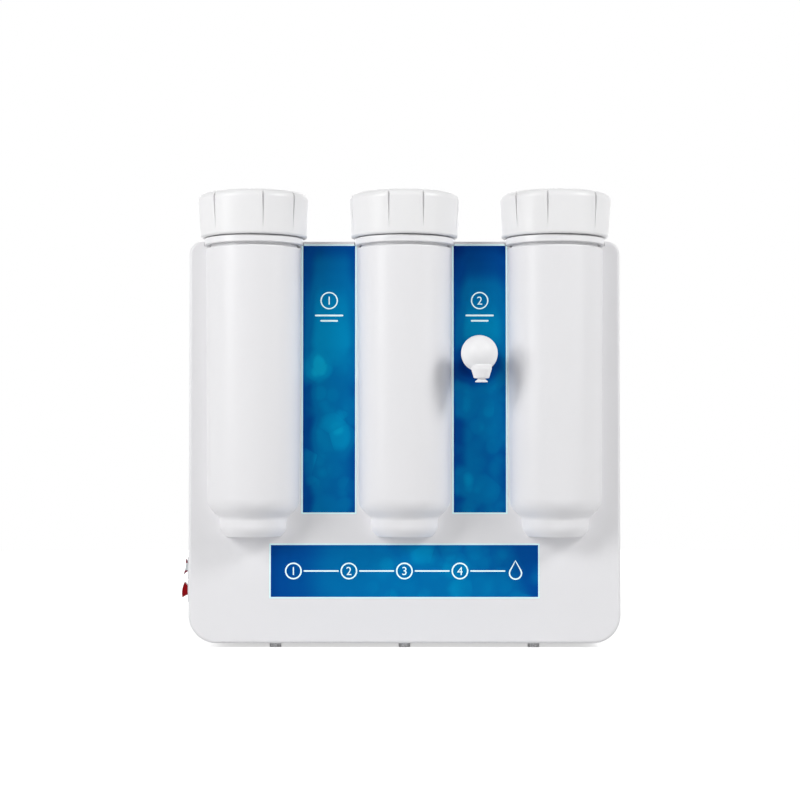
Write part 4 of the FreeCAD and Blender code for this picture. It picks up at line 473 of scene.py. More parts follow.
# %% Paint the plain mouldings
MOULDINGS = {  # colour, roughness, grain in mm, drift of tone, the pieces
    "cover_plastic": ((0.838, 0.834, 0.850), 0.38, 0.012, 0.010, ("front_cover",)),
    "shell_plastic": ((0.830, 0.828, 0.842), 0.42, 0.018, 0.012, ("rear_shell",)),
    "canister_plastic": ((0.850, 0.848, 0.860), 0.32, 0.006, 0.010,
                         tuple(side + "_canister" for side in SIDES)),
    "lid_plastic": ((0.80, 0.81, 0.83), 0.34, 0.008, 0.015, tuple(side + "_lid" for side in SIDES)),
    "tap_plastic": ((0.89, 0.888, 0.90), 0.46, 0.004, 0.008, ("tap_ball",)),
    "tap_stem_plastic": ((0.88, 0.878, 0.89), 0.32, 0.006, 0.010, ("tap_stem",)),
    "nozzle_plastic": ((0.87, 0.868, 0.88), 0.42, 0.004, 0.010, ("tap_nozzle",)),
    "switch_plastic": ((0.74, 0.745, 0.765), 0.45, 0.020, 0.015, ("power_switch_body", "pump_switch_body")),
    "saddle_plastic": ((0.055, 0.056, 0.060), 0.55, 0.030, 0.060, ("canister_saddles",)),
    "pump_plastic": ((0.022, 0.022, 0.025), 0.50, 0.035, 0.080, ("pump_head",)),
    "pump_cover_plastic": ((0.012, 0.040, 0.160), 0.45, 0.030, 0.060, ("pump_valve_cover",)),
    "vessel_plastic": ((0.82, 0.83, 0.85), 0.36, 0.010, 0.015, ("membrane_vessel", "membrane_vessel_cap")),
    "clip_plastic": ((0.79, 0.80, 0.82), 0.40, 0.012, 0.015, ("membrane_clips",)),
    "valve_plastic": ((0.76, 0.755, 0.73), 0.46, 0.020, 0.020, ("valve_bodies",)),
    "sensor_plastic": ((0.030, 0.030, 0.034), 0.48, 0.022, 0.060, ("pressure_switch",)),
    "fitting_plastic": ((0.80, 0.81, 0.83), 0.40, 0.012, 0.015, ("bulkhead_unions", "straight_fittings")),
    "fitting_nut_plastic": ((0.77, 0.78, 0.80), 0.44, 0.014, 0.015, ("union_nuts",)),
    "collet_plastic": ((0.36, 0.40, 0.47), 0.40, 0.010, 0.030, ("union_collets",)),
    "inlet_plastic": ((0.020, 0.020, 0.022), 0.50, 0.028, 0.080, ("mains_inlet",)),
    "standoff_nylon": ((0.78, 0.78, 0.75), 0.50, 0.008, 0.020, ("board_standoffs",)),
}

HOUSING = ("front_cover", "rear_shell")
housing_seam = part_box("rear_shell")[0].y  # where the shell meets the cover
for finish_name, (colour, shine, grain, drift, wearers) in MOULDINGS.items():
    seam = housing_seam if wearers[0] in HOUSING else None
    paint(moulded(finish_name, colour, shine=shine, grain=grain, drift=drift, seam=seam), *wearers)
print("mouldings:", len(MOULDINGS), "finishes on", len(painted), "pieces")

# %% [markdown]
# ## The screw caps
#
# A cap is injected through the middle of its dished top. That leaves a small round gate scar, and the
# melt spreads from it in faint rays. Fingers polish the grips, so the side is a little glossier than the
# top. All of this is worked out from the distance to the cap's own axis, which the model gives, so each
# cap gets its own copy of the finish with its own middle.

# %% Screw cap plastic
CAP_WHITE = (0.872, 0.870, 0.876)
CAP_TOP = (4.0, 2.5)  # the top's finish starts and is full so far below its highest point
GATE_RADIUS = 2.6
GATE_EDGE = 0.4
GATE_DEPTH = 0.25
RAY_PITCH = 0.12
POLISH = 0.06


def cap_plastic(name, cap):
    """Moulded plastic with a gate scar and flow rays round the cap's middle."""
    made = Finish(name)
    away, angle = made.round_axis(middle_of(cap))
    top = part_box(cap)[1].z
    on_top = made.between(made.axes()[2], *(top - below * MM for below in CAP_TOP))
    rays = made.node("TexNoise", {"noise_dimensions": "1D"}, {"W": angle / RAY_PITCH, "Scale": 1.0})
    scar = (1 - made.between(away, (GATE_RADIUS - GATE_EDGE) * MM, GATE_RADIUS * MM)) * on_top
    flow = made.cloud(FLOW_SIZE, detail=3.0)
    pebbles = made.cloud(GRAIN_SIZE, detail=1.0)
    touched = made.cloud(TOUCH_SIZE, detail=4.0)
    base = made.shades(flow, CAP_WHITE, 0.010, 0.010)
    base = made.mix(on_top * rays * 0.3, base, tone(CAP_WHITE, -0.05))
    return made.finished(
        Base_Color=made.mix(scar * 0.6, base, tone(CAP_WHITE, -0.12)),
        Roughness=(touched - 0.5) * 0.1 + on_top * POLISH + 0.34,
        Normal=made.bump(pebbles * 0.012 - scar * GATE_DEPTH),
        IOR=PLASTIC_IOR,
    )


for side in SIDES:
    paint(cap_plastic(side + "_cap_plastic", side + "_screw_cap"), side + "_screw_cap")
print("gate scar, mm across:", 2 * GATE_RADIUS)

# %% [markdown]
# ## The printed panels
#
# The blue panels are printed film behind a matt laminate: a deep navy that opens into teal, scattered
# with soft out-of-focus drops, and framed by a hair of bare white film.
#
# A picture file could carry such a print, but a formula stays sharp at any distance. The film's box gives
# each point its share of the way across and up. Two ramps along those shares give the large glow; across
# the tall panels the ramp also darkens both sides, as painted shade of the round bays beside them. The
# drops are round cells in three sizes, pale in the middle and soft at the rim, and each is a little
# lighter or darker by luck. Behind the tap the right print darkens in a painted shadow of the tap, which
# sets off the white ball. A last ramp turns the sum into ink. Bare film and white ink get a painted glow,
# so they give back a little light of their own. Only the laminate's fine texture goes to the bump, since
# the print itself is flat.

# %% Inks
FRAME_WIDTH = 1.3
FRAME_BLUR = 0.1
BARE_FILM = (0.74, 0.98, 1.0, 1.0)
PAINTED_GLOW_COLOUR = (0.55, 0.94, 1.0, 1.0)  # colour of the painted glow that bare film and white ink give back
# painted glow: how much light of their own the bare film and the white ink give back
FILM_PAINTED_GLOW = 0.10
INK_PAINTED_GLOW = 0.20
BLACK = (0.0, 0.0, 0.0, 1.0)
INKS = (  # from shadow to glow
    (0.00, (0.0000, 0.006, 0.135)), (0.22, (0.0000, 0.070, 0.320)), (0.50, (0.0000, 0.162, 0.430)),
    (0.80, (0.0000, 0.266, 0.545)), (1.00, (0.0020, 0.375, 0.640)),
)
DROP_SIZES = ((46.0, 0.22), (30.0, 0.28), (16.0, 0.14))  # size in mm, strength
DROP_EDGE = (0.62, 0.27)  # where a drop ends and where it is full, as shares of its size
DROP_LUCK = 0.3  # the faintest drop; luck adds up to 1
DROP_MEAN = 0.35  # taken off, so that the drops leave the print as light as it was
DROP_IN_DARK = 0.25  # how much drops show where the print is dark
DROP_SHIFT = 3.7  # from one layer of drops to the next, in cells
LAMINATE_GRAIN = 0.7
HANDLED_SIZE = 30.0
# painted shadow of the tap on the print: its reach, how far below the tap's middle it sits, how dark it is
PAINTED_SHADOW_REACH = (12.0, 30.0)  # dark up to here and gone there, from a point under the tap's middle, mm
PAINTED_SHADOW_DROP = 4.0
PAINTED_SHADOW_STRENGTH = 0.8
print("inks:", len(INKS), "layers of drops:", len(DROP_SIZES))

# %% Printed film
def grey_stops(*stops):
    """Ramp stops that carry plain values."""
    return [(position, (value, value, value)) for position, value in stops]


def printed_film(name, film, up_stops, across_stops, drops_from, drops_to, shift, behind=None):
    """Print lit by two ramps; drops fade in along the longer side, and a painted shadow lies behind a
    piece.
    """
    made = Finish(name)
    x, z = made.axes()[::2]
    low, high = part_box(film)
    across, up = (x - low.x) / (high.x - low.x), (z - low.z) / (high.z - low.z)
    from_side, from_end = (x - low.x).smaller(high.x - x), (z - low.z).smaller(high.z - z)
    lit = made.ramp(up, grey_stops(*up_stops)) * made.ramp(across, grey_stops(*across_stops))
    run = up if high.z - low.z > high.x - low.x else across
    present = made.between(run, drops_from, drops_to)
    for size, strength in DROP_SIZES:
        drop = made.between(made.cells(size, shift=shift), *DROP_EDGE)
        drop = drop * (made.luck(size, shift=shift) + DROP_LUCK)
        lit = lit + (drop - DROP_MEAN) * strength * present * (lit + DROP_IN_DARK)
        shift = shift + DROP_SHIFT
    # painted shadow: the print is darkened round the piece that casts it
    if behind:
        centre = middle_of(behind)
        aside, above = x - centre.x, z - (centre.z - PAINTED_SHADOW_DROP * MM)
        away = (aside * aside + above * above) ** 0.5
        lit = lit * (1 - made.between(away, PAINTED_SHADOW_REACH[1] * MM, PAINTED_SHADOW_REACH[0] * MM) * PAINTED_SHADOW_STRENGTH)
    ink = made.ramp(lit, INKS)
    edge = from_side.smaller(from_end)
    framed = made.between(edge, (FRAME_WIDTH - FRAME_BLUR) * MM, (FRAME_WIDTH + FRAME_BLUR) * MM)
    handled = made.cloud(HANDLED_SIZE, detail=3.0)
    return made.finished(
        Base_Color=made.mix(framed, BARE_FILM, ink),
        Roughness=(handled - 0.5) * 0.08 + 0.42,
        Normal=made.bump(made.cloud(LAMINATE_GRAIN) * 0.006),
        Specular_IOR_Level=0.03,
        # painted glow on the bare frame round the print
        Emission_Color=made.mix(framed, PAINTED_GLOW_COLOUR, BLACK),
        Emission_Strength=FILM_PAINTED_GLOW,
    )


print("bare frame round the print, mm:", FRAME_WIDTH)

# %% Print the three films
# across the tall panels the print is darker at both sides: painted shade of the round bays beside them
PANEL_ACROSS_WITH_SIDE_SHADE = ((0.0, 0.24), (0.10, 0.58), (0.32, 1.0), (0.75, 0.98), (1.0, 0.66))
BANNER_ACROSS = (
    (0.0, 0.18), (0.10, 0.34), (0.25, 0.56), (0.42, 0.72), (0.62, 0.70), (0.85, 0.60), (1.0, 0.44),
)
LEFT_UP = (
    (0.0, 0.56), (0.12, 0.60), (0.32, 0.60), (0.47, 0.66),
    (0.62, 0.84), (0.75, 0.72), (0.92, 0.44), (1.0, 0.26),
)
RIGHT_UP = (
    (0.0, 0.48), (0.12, 0.51), (0.32, 0.57), (0.50, 0.67),
    (0.68, 0.80), (0.80, 0.59), (0.92, 0.28), (1.0, 0.14),
)
BANNER_UP = ((0.0, 0.80), (0.30, 0.85), (0.60, 0.83), (0.85, 0.74), (1.0, 0.63))
PANEL_DROPS, BANNER_DROPS = (0.72, 0.46), (0.15, 0.60)  # where drops start and are full along a film
FILMS = {  # ramps up and across, the drops' run and shift, and what the painted shadow lies behind
    "left_panel": (LEFT_UP, PANEL_ACROSS_WITH_SIDE_SHADE, *PANEL_DROPS, 0.0, None),
    "right_panel": (RIGHT_UP, PANEL_ACROSS_WITH_SIDE_SHADE, *PANEL_DROPS, 2.3, "tap_ball"),
    "banner": (BANNER_UP, BANNER_ACROSS, *BANNER_DROPS, 6.4, None),
}
for name, print_plan in FILMS.items():
    film = name + "_film"
    paint(printed_film(name.replace("_panel", "") + "_print", film, *print_plan), film)
print("films:", ", ".join(FILMS))

# %% [markdown]
# ## Marks in white ink
#
# A machine like this carries a few printed signs: a number for each panel, and a line that shows the
# water's way through its stages to the drop of clean water at the end. Here they are plain shapes: rings,
# bars, numerals and a drop.
#
# They could be masks in the film's shader, but screen ink really lies on the film as a layer that one can
# feel, so each mark is a thin closed mesh a twentieth of a millimetre thick. One small class draws it:
# `line` lays a ribbon along points and `numeral` borrows a figure from a text object. Then `print_mark`
# raises all of it to a solid and turns it to face the way its surface faces.

# %% A mark and its strokes
INK_THICKNESS = 0.05 * MM
WELD_DISTANCE = 0.001 * MM
RING_POINTS = 64
END_POINTS = 8
FIGURE_HEIGHT = 0.69  # of a capital figure, as a share of the font's size


def circle(x, z, radius, count=RING_POINTS):
    """Points round a circle, in metres."""
    turns = [2 * math.pi * k / count for k in range(count)]
    return [Vector((x + radius * math.cos(turn), z + radius * math.sin(turn))) for turn in turns]


class Mark:
    """White ink, drawn flat with x to the right and z up."""

    def __init__(self):
        self.form = bmesh.new()
        self.figures = []

    def line(self, points, width, closed=False):
        """A ribbon along points, with round ends if it is open."""
        count = len(points)
        edges = []
        for k, here in enumerate(points):
            before = points[k - 1] if closed or k > 0 else here
            after = points[(k + 1) % count] if closed or k < count - 1 else here
            along = (after - before).normalized()
            across = Vector((-along.y, along.x)) * (width / 2)
            edges.append([self.form.verts.new((*(here + way * across), 0.0)) for way in (1, -1)])
        for k in range(count if closed else count - 1):
            (left, right), (next_left, next_right) = edges[k], edges[(k + 1) % count]
            self.form.faces.new((left, right, next_right, next_left))
        if not closed:
            self.round_end(points[0], edges[0][0], edges[0][1])
            self.round_end(points[-1], edges[-1][1], edges[-1][0])

    def round_end(self, middle, first, last):
        """Half a disc from one corner of a ribbon's end to the other."""
        start = Vector(first.co[:2]) - middle
        rim = []
        for k in range(1, END_POINTS):
            arm = start.copy()
            arm.rotate(Matrix.Rotation(math.pi * k / END_POINTS, 2))
            rim.append(self.form.verts.new((*(middle + arm), 0.0)))
        self.form.faces.new([first, *rim, last])

    def ring(self, x, z, radius, width):
        self.line(circle(x, z, radius), width, closed=True)

    def numeral(self, figure, x, z, height):
        """A figure whose middle is at x, z."""
        letters = bpy.data.curves.new("figure", "FONT")
        letters.body = figure
        letters.size = height / FIGURE_HEIGHT
        letters.extrude = INK_THICKNESS / 2
        holder = bpy.data.objects.new("figure", letters)
        mesh = bpy.data.meshes.new_from_object(holder)
        spots = [vertex.co for vertex in mesh.vertices]
        middle_x = (min(spot.x for spot in spots) + max(spot.x for spot in spots)) / 2
        middle_z = (min(spot.y for spot in spots) + max(spot.y for spot in spots)) / 2
        mesh.transform(Matrix.Translation((x - middle_x, z - middle_z, INK_THICKNESS / 2)))
        bpy.data.objects.remove(holder)
        self.figures.append(mesh)


print("points to a ring:", RING_POINTS)

# %% From strokes to a solid
def sort_faces(form):
    """Extruding leaves the faces in a chance order; this puts them in the order of their corners."""
    form.verts.index_update()
    in_order = sorted(form.faces, key=lambda face: sorted(corner.index for corner in face.verts))
    for rank, face in enumerate(in_order):
        face.index = rank
    form.faces.sort()


def print_mark(mark, name, body, y, material, from_behind=False):
    """Turns a mark into a solid that lies on the plane at y and rides on a body."""
    form = mark.form
    if form.faces:
        bmesh.ops.recalc_face_normals(form, faces=form.faces)
        raised = bmesh.ops.extrude_face_region(form, geom=form.faces[:], use_keep_orig=True)
        tops = [part for part in raised["geom"] if isinstance(part, bmesh.types.BMVert)]
        bmesh.ops.translate(form, verts=tops, vec=(0.0, 0.0, INK_THICKNESS))
    for mesh in mark.figures:
        form.from_mesh(mesh)
        bpy.data.meshes.remove(mesh)
    bmesh.ops.remove_doubles(form, verts=form.verts, dist=WELD_DISTANCE)
    bmesh.ops.recalc_face_normals(form, faces=form.faces)
    upright = Matrix.Rotation(math.pi / 2, 4, "X")
    if from_behind:
        upright = Matrix.Rotation(math.pi, 4, "Z") @ upright
    bmesh.ops.transform(form, matrix=Matrix.Translation((0.0, y, 0.0)) @ upright, verts=form.verts)
    sort_faces(form)
    mesh = bpy.data.meshes.new(name)
    form.to_mesh(mesh)
    form.free()
    mesh.materials.append(material)
    made = placed(name, mesh)
    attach(made, body)
    print(name, "faces:", len(mesh.polygons))


print("ink thickness, mm:", INK_THICKNESS / MM)

# %% Screen ink
SCREEN_PITCH = 0.14
COVER_SIZE = 4.0
SHEEN_SIZE = 9.0


def screen_ink(name, colour, painted_glow=0.0):
    """Opaque ink with the faint weave of the screen it was pressed through."""
    made = Finish(name)
    x_wave, z_wave = ((place * (2 * math.pi / (SCREEN_PITCH * MM))).sine() for place in made.axes()[::2])
    cover = made.cloud(COVER_SIZE, detail=3.0)
    return made.finished(
        Base_Color=made.shades(cover, colour, 0.03, 0.02),
        Roughness=made.cloud(SHEEN_SIZE) * 0.12 + 0.46,
        Normal=made.bump(x_wave * z_wave * 0.003 + cover * 0.004),
        # painted glow: the ink gives back light of its own where one is asked for
        Emission_Color=PAINTED_GLOW_COLOUR,
        Emission_Strength=painted_glow,
    )


white_ink = screen_ink("white_ink", (0.84, 1.0, 1.0), painted_glow=INK_PAINTED_GLOW)
print("threads of the screen, mm:", SCREEN_PITCH)

# %% Marks on the two tall panels
PANEL_STROKE = 1.15 * MM
PANEL_RING_RADIUS = 7.6 * MM
PANEL_RING_DROP = 53.0 * MM  # below the film's upper edge
FIGURE_SIZE = 7.6 * MM
BAR_DROPS = (67.0 * MM, 72.0 * MM)
BAR_LENGTHS = (25.0 * MM, 15.0 * MM)
BAR_WIDTH = 1.4 * PANEL_STROKE

for figure, side in (("1", "left"), ("2", "right")):
    film_low, film_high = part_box(side + "_panel_film")
    centre_x = (film_low.x + film_high.x) / 2
    sign = Mark()
    ring_z = film_high.z - PANEL_RING_DROP
    sign.ring(centre_x, ring_z, PANEL_RING_RADIUS, PANEL_STROKE)
    sign.numeral(figure, centre_x, ring_z, FIGURE_SIZE)
    for drop, length in zip(BAR_DROPS, BAR_LENGTHS):
        bar_z = film_high.z - drop
        ends = [Vector((centre_x + way * length / 2, bar_z)) for way in (-1, 1)]
        sign.line(ends, BAR_WIDTH)
    print_mark(sign, side + "_panel_mark", "housing", film_low.y, white_ink)

# %% Marks on the banner: the water's way through four stages
STAGE_PITCH = 52.0 * MM
STAGE_RADIUS = 7.2 * MM
STAGE_STROKE = 1.3 * MM
STAGES = 4
LINE_GAP = 3.0 * MM  # between a ring and the line that leads on
DROP_RADIUS = 5.6 * MM
DROP_TIP = 11.5 * MM
DROP_SINK = 2.0 * MM  # the round part's middle lies so far below the rings' middles


def drop_outline(x, z):
    """A drop: an arc that is open at the top, and two straight sides that meet in a tip."""
    tangent = math.acos(DROP_RADIUS / DROP_TIP)
    start, end = math.pi / 2 + tangent, 5 * math.pi / 2 - tangent
    steps = RING_POINTS // 2
    turns = [start + (end - start) * k / steps for k in range(steps + 1)]
    arc = [Vector((x + DROP_RADIUS * math.cos(turn), z + DROP_RADIUS * math.sin(turn))) for turn in turns]
    return [*arc, Vector((x, z + DROP_TIP))]


banner_low, banner_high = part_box("banner_film")
banner_x, banner_z = (banner_low.x + banner_high.x) / 2, (banner_low.z + banner_high.z) / 2
way_sign = Mark()
first_x = banner_x - STAGE_PITCH * STAGES / 2
for k in range(STAGES):
    stage_x = first_x + k * STAGE_PITCH
    way_sign.ring(stage_x, banner_z, STAGE_RADIUS, STAGE_STROKE)
    way_sign.numeral(str(k + 1), stage_x, banner_z, FIGURE_SIZE)
    line_start = stage_x + STAGE_RADIUS + LINE_GAP
    line_end = stage_x + STAGE_PITCH - STAGE_RADIUS - LINE_GAP
    way_sign.line([Vector((line_start, banner_z)), Vector((line_end, banner_z))], STAGE_STROKE)
clean_water = drop_outline(first_x + STAGES * STAGE_PITCH, banner_z - DROP_SINK)
way_sign.line(clean_water, STAGE_STROKE, closed=True)
print_mark(way_sign, "banner_mark", "housing", banner_low.y, white_ink)

# %% [markdown]
# ## The rockers
#
# Both rockers are pressed from dark red plastic. The power key has a pale grey band across its hollow face,
# a painted highlight for the glare of the white room on the glossy red, and the pump key is red all over.
# Their figures, a bar for on and a ring for off, are sunk in the face and filled with white.
#
# The painted highlight and the figures lie on a face that tips with the key. Meshes would have to follow
# its curve, while a mask in the key's own coordinates does so by itself: it compares a point's place with
# the key's middle, as the model gives it at rest.

# %% Rocker keys
KEY_FIGURE_REACH = 4.3  # figures above and below the middle, mm
KEY_BAR = (0.45, 1.5)  # half width and half height, mm
KEY_RING = (1.3, 0.35)  # radius and half width, mm
KEY_FIGURE_EDGE = 0.1
KEY_FACE = (1.5, 0.0)  # the face starts and is full so far inwards from the middle, mm
KEY_WHITE = (0.80, 0.80, 0.80, 1.0)
# painted highlight: a pale grey band across the power key's face, for the glare on the glossy red
GLARE_BAND = (-3.2, 3.4)  # from and to, about the middle, mm
GLARE_BAND_EDGE = 0.3
GLARE_GREY = (0.62, 0.66, 0.67, 1.0)


def key_plastic(name, key, colour, painted_glare):
    """Red plastic with a bar above and a ring below, and a pale band of painted highlight if asked."""
    made = Finish(name)
    x, y, z = made.axes()
    low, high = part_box(key)
    middle = (low + high) / 2
    aside, up = (y - middle.y) / MM, (z - middle.z) / MM
    wide, tall = KEY_BAR
    above, below = up - KEY_FIGURE_REACH, up + KEY_FIGURE_REACH
    bar = made.between(abs(aside), wide + KEY_FIGURE_EDGE, wide)
    bar = bar * made.between(abs(above), tall + KEY_FIGURE_EDGE, tall)
    radius, half = KEY_RING
    from_ring = abs((aside * aside + below * below) ** 0.5 - radius)
    ring = made.between(from_ring, half + KEY_FIGURE_EDGE, half)
    on_face = made.between(x, *(middle.x + inwards * MM for inwards in KEY_FACE))
    figure = bar.larger(ring) * on_face
    base = made.shades(made.cloud(7.0, detail=3.0), colour, 0.10, 0.12)
    # painted highlight across the key's face
    if painted_glare:
        bottom, top = GLARE_BAND
        glare_band_mask = made.between(up, bottom - GLARE_BAND_EDGE, bottom) * made.between(up, top + GLARE_BAND_EDGE, top)
        base = made.mix(glare_band_mask, base, GLARE_GREY)
    return made.finished(
        Base_Color=made.mix(figure, base, KEY_WHITE),
        Roughness=made.cloud(5.0, detail=3.0) * 0.10 + 0.26,
        Normal=made.bump(made.cloud(0.5) * 0.008 - figure * 0.08),
        Specular_IOR_Level=0.10,
    )


paint(key_plastic("power_key_plastic", "power_rocker", (0.200, 0.002, 0.028), painted_glare=True), "power_rocker")
paint(key_plastic("pump_key_plastic", "pump_rocker", (0.270, 0.001, 0.004), painted_glare=False), "pump_rocker")
print("rocker figures, mm from the middle:", KEY_FIGURE_REACH)

# %% [markdown]
# ## Rubber
#
# Feet, seals and grommets are rubber: matt, with pores, and with the dusty bloom that wax leaves when it
# creeps out of the rubber. The bloom is a pale, rougher blot; the pores are the dents of small cells.

# %% Rubber
BLOOM_SIZE = 6.0
PORE_SIZE = 0.6
RUBBER_RIPPLE_SIZE = 3.0


def rubber(name, colour):
    """Matt rubber with pores and a pale bloom."""
    made = Finish(name)
    bloom = made.between(made.cloud(BLOOM_SIZE, detail=4.0), 0.45, 0.75)
    pores = made.between(made.cells(PORE_SIZE), 0.1, 0.5)
    return made.finished(
        Base_Color=made.shades(bloom * 0.4, colour, 0.06, 0.35),
        Roughness=bloom * 0.14 + 0.60,
        Normal=made.bump(pores * 0.02 + made.cloud(RUBBER_RIPPLE_SIZE) * 0.02),
        IOR=1.52,
    )


paint(rubber("foot_rubber", (0.88, 0.88, 0.89)), "feet")
seals = [side + "_lid_seal" for side in SIDES] + ["tap_rings", "tap_washer", "pump_grommets"]
paint(rubber("seal_rubber", (0.016, 0.016, 0.017)), *seals)
print("rubber pieces:", 1 + len(seals))

# %% [markdown]
# ## Sheet steel
#
# The chassis is bent from zinc-plated sheet, and the power supply wears a punched case of the same. Hot
# zinc freezes in crystals, so each cell reflects a little differently, and rolling the sheet leaves fine
# lines along one way. Both change the roughness more than the colour: that is how bare metal shows its
# history. The punched holes are dark dots on a square grid, which is what cells without randomness are.

# %% Zinc sheet
SPANGLE_SIZE = 7.0
ROLLING_SIZE = 0.35
OXIDE_SIZE = 30.0
SHEET_RIPPLE_SIZE = 16.0
HOLE_PITCH = 5.0
HOLE_SHARE = 0.30  # radius as a share of the pitch
# painted shade: the punched holes are black dots for the dark inside them
HOLE_SHADE = (0.004, 0.004, 0.004, 1.0)


def zinc_sheet(name, colour, punched=None):
    """Zinc-plated sheet with spangles and rolling lines, and a grid of holes inside a box if given."""
    made = Finish(name)
    crystal = made.luck(SPANGLE_SIZE)
    rolled = made.cloud(ROLLING_SIZE, stretch=(60.0, 1.0, 1.0))
    oxide = made.between(made.cloud(OXIDE_SIZE, detail=4.0), 0.45, 0.70)
    base = made.shades(crystal, colour, 0.10, 0.08)
    base = made.mix(oxide * 0.3, base, tone(colour, -0.30))
    rough = crystal * 0.12 + rolled * 0.10 + oxide * 0.12 + 0.22
    metal, sunk = 1.0, 0.0
    if punched:
        low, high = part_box(punched)
        margin = HOLE_PITCH * MM
        inside = 1.0
        for axis, place in enumerate(made.axes()[::2]):
            first, last = low[2 * axis] + margin * (3 - 2 * axis), high[2 * axis] - margin
            inside = made.between(place, first, first + MM) * made.between(place, last, last - MM) * inside
        dots = made.cells(HOLE_PITCH, randomness=0.0)
        hole = made.between(dots, HOLE_SHARE + 0.04, HOLE_SHARE) * inside
        # painted shade in the punched holes
        base = made.mix(hole, base, HOLE_SHADE)
        metal, sunk = 1 - hole, hole * 0.4
    return made.finished(
        Base_Color=base,
        Metallic=metal,
        Roughness=rough,
        Normal=made.bump(rolled * 0.004 + made.cloud(SHEET_RIPPLE_SIZE) * 0.03 - sunk),
    )


paint(zinc_sheet("sheet_steel", (0.62, 0.63, 0.65)), "chassis")
paint(zinc_sheet("supply_steel", (0.66, 0.67, 0.68), punched="power_supply"), "power_supply")
print("spangle, mm:", SPANGLE_SIZE, "hole pitch, mm:", HOLE_PITCH)

# %% [markdown]
# ## Turned metal
#
# Posts, screws, plungers, the rotor and the nut of the tap come off a lathe. The tool leaves a fine
# spiral, which reads as rings across the axis. Noise that changes along one axis only gives exactly that:
# a shallow bump, and a roughness that shifts from ring to ring. Steel and brass differ in colour, and the
# brass has a darker bloom where it has been touched.

# %% Turned metal
RING_PITCH = 0.22
BAND_PITCH = 3.0
STAIN_SIZE = 8.0


def turned_metal(name, colour, axis, shine=0.24, tarnish=0.15):
    """Metal with the rings that a lathe leaves across an axis."""
    made = Finish(name)
    along = made.axes()[axis]
    rings = made.stripes(along, RING_PITCH)
    bands = made.stripes(along, BAND_PITCH, detail=3.0)
    stain = made.between(made.cloud(STAIN_SIZE, detail=4.0), 0.48, 0.72)
    base = made.shades(bands, colour, 0.05, 0.05)
    return made.finished(
        Base_Color=made.mix(stain * tarnish * 2, base, tone(colour, -0.45)),
        Metallic=1.0,
        Roughness=rings * 0.12 + stain * 0.12 + shine - 0.04,
        Normal=made.bump(rings * 0.006),
    )


paint(turned_metal("post_steel", (0.60, 0.60, 0.60), axis=1), "rear_posts")
paint(turned_metal("screw_steel", (0.58, 0.58, 0.60), axis=1, shine=0.30), "housing_screws")
paint(turned_metal("rotor_steel", (0.50, 0.50, 0.51), axis=0), "pump_rotor")
paint(turned_metal("plunger_steel", (0.56, 0.56, 0.57), axis=2, shine=0.18),
      "feed_valve_plunger", "flush_valve_plunger")
paint(turned_metal("nut_brass", (0.78, 0.52, 0.20), axis=1, shine=0.22, tarnish=0.3), "tap_nut")
paint(turned_metal("pin_metal", (0.80, 0.62, 0.30), axis=1, shine=0.20, tarnish=0.2), "inlet_pins")
print("lathe rings, mm:", RING_PITCH)

# %% [markdown]
# ## The filter cartridges
#
# Each canister holds a different medium. The sediment filter is yarn wound crosswise on a core, the
# carbon filter is a pressed block of grains, and the resin filter shows amber beads behind a net. All
# three wear plastic end caps, which belong to the same piece of the model, so the finish tells them from
# the medium by height.
#
# The yarn could be a long helix of mesh. At this scale two sets of slanting waves, one laid each way, read
# the same and cost nothing: the wave's argument is the angle round the axis plus a share of the height.

# %% Cartridge media
CARTRIDGE_CAP_HEIGHT = 12.0


def slanting(made, angle, height, starts, lay, way):
    """Waves from -1 to 1 that wind round an axis: starts of them, lay millimetres apart in height."""
    return (angle * starts + height * (way * 2 * math.pi / (lay * MM))).sine()


def cartridge(name, node_name, cap_colour, medium):
    """A medium between two plastic end caps; medium gives its colour, roughness and height."""
    made = Finish(name)
    low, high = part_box(node_name)
    height = made.axes()[2]
    angle = made.round_axis(middle_of(node_name))[1]
    from_end = (height - low.z).smaller(high.z - height)
    body = made.between(from_end, (CARTRIDGE_CAP_HEIGHT - 0.1) * MM, CARTRIDGE_CAP_HEIGHT * MM)
    colour, rough, rise = medium(made, angle, height)
    cap = made.shades(made.cloud(FLOW_SIZE), cap_colour, 0.02, 0.02)
    return made.finished(
        Base_Color=made.mix(body, cap, colour),
        Roughness=body * (rough - 0.4) + 0.4,
        Normal=made.bump(rise * body + made.cloud(GRAIN_SIZE) * 0.012),
    )


print("end caps, mm high:", CARTRIDGE_CAP_HEIGHT)

# %% Yarn, carbon and beads
YARN_STARTS = 14
YARN_LAY = 5.5
FIBRE_SIZE = 0.3
CARBON_GRAIN = 0.8
BEAD_SIZE = 0.9
NET_STARTS = 60
NET_PITCH = 3.4


def yarn(made, angle, height):
    """Cotton-white yarn wound crosswise."""
    one, other = (slanting(made, angle, height, YARN_STARTS, YARN_LAY, way) for way in (1, -1))
    ridge = one.larger(other)
    fibre = made.cloud(FIBRE_SIZE, detail=3.0)
    colour = made.mix(ridge * 0.5 + 0.5, (0.60, 0.58, 0.52, 1.0), (0.86, 0.85, 0.80, 1.0))
    colour = made.mix(fibre * 0.3, colour, (0.94, 0.93, 0.90, 1.0))
    return colour, fibre * 0.2 + 0.75, ridge * 0.5 + fibre * 0.1


def carbon_block(made, angle, height):
    """Pressed black grains, some of which catch the light."""
    grains = made.cells(CARBON_GRAIN)
    colour = made.mix(made.luck(CARBON_GRAIN), (0.012, 0.012, 0.013, 1.0), (0.050, 0.050, 0.052, 1.0))
    return colour, made.luck(CARBON_GRAIN, shift=5.0) * 0.35 + 0.45, grains * -0.15


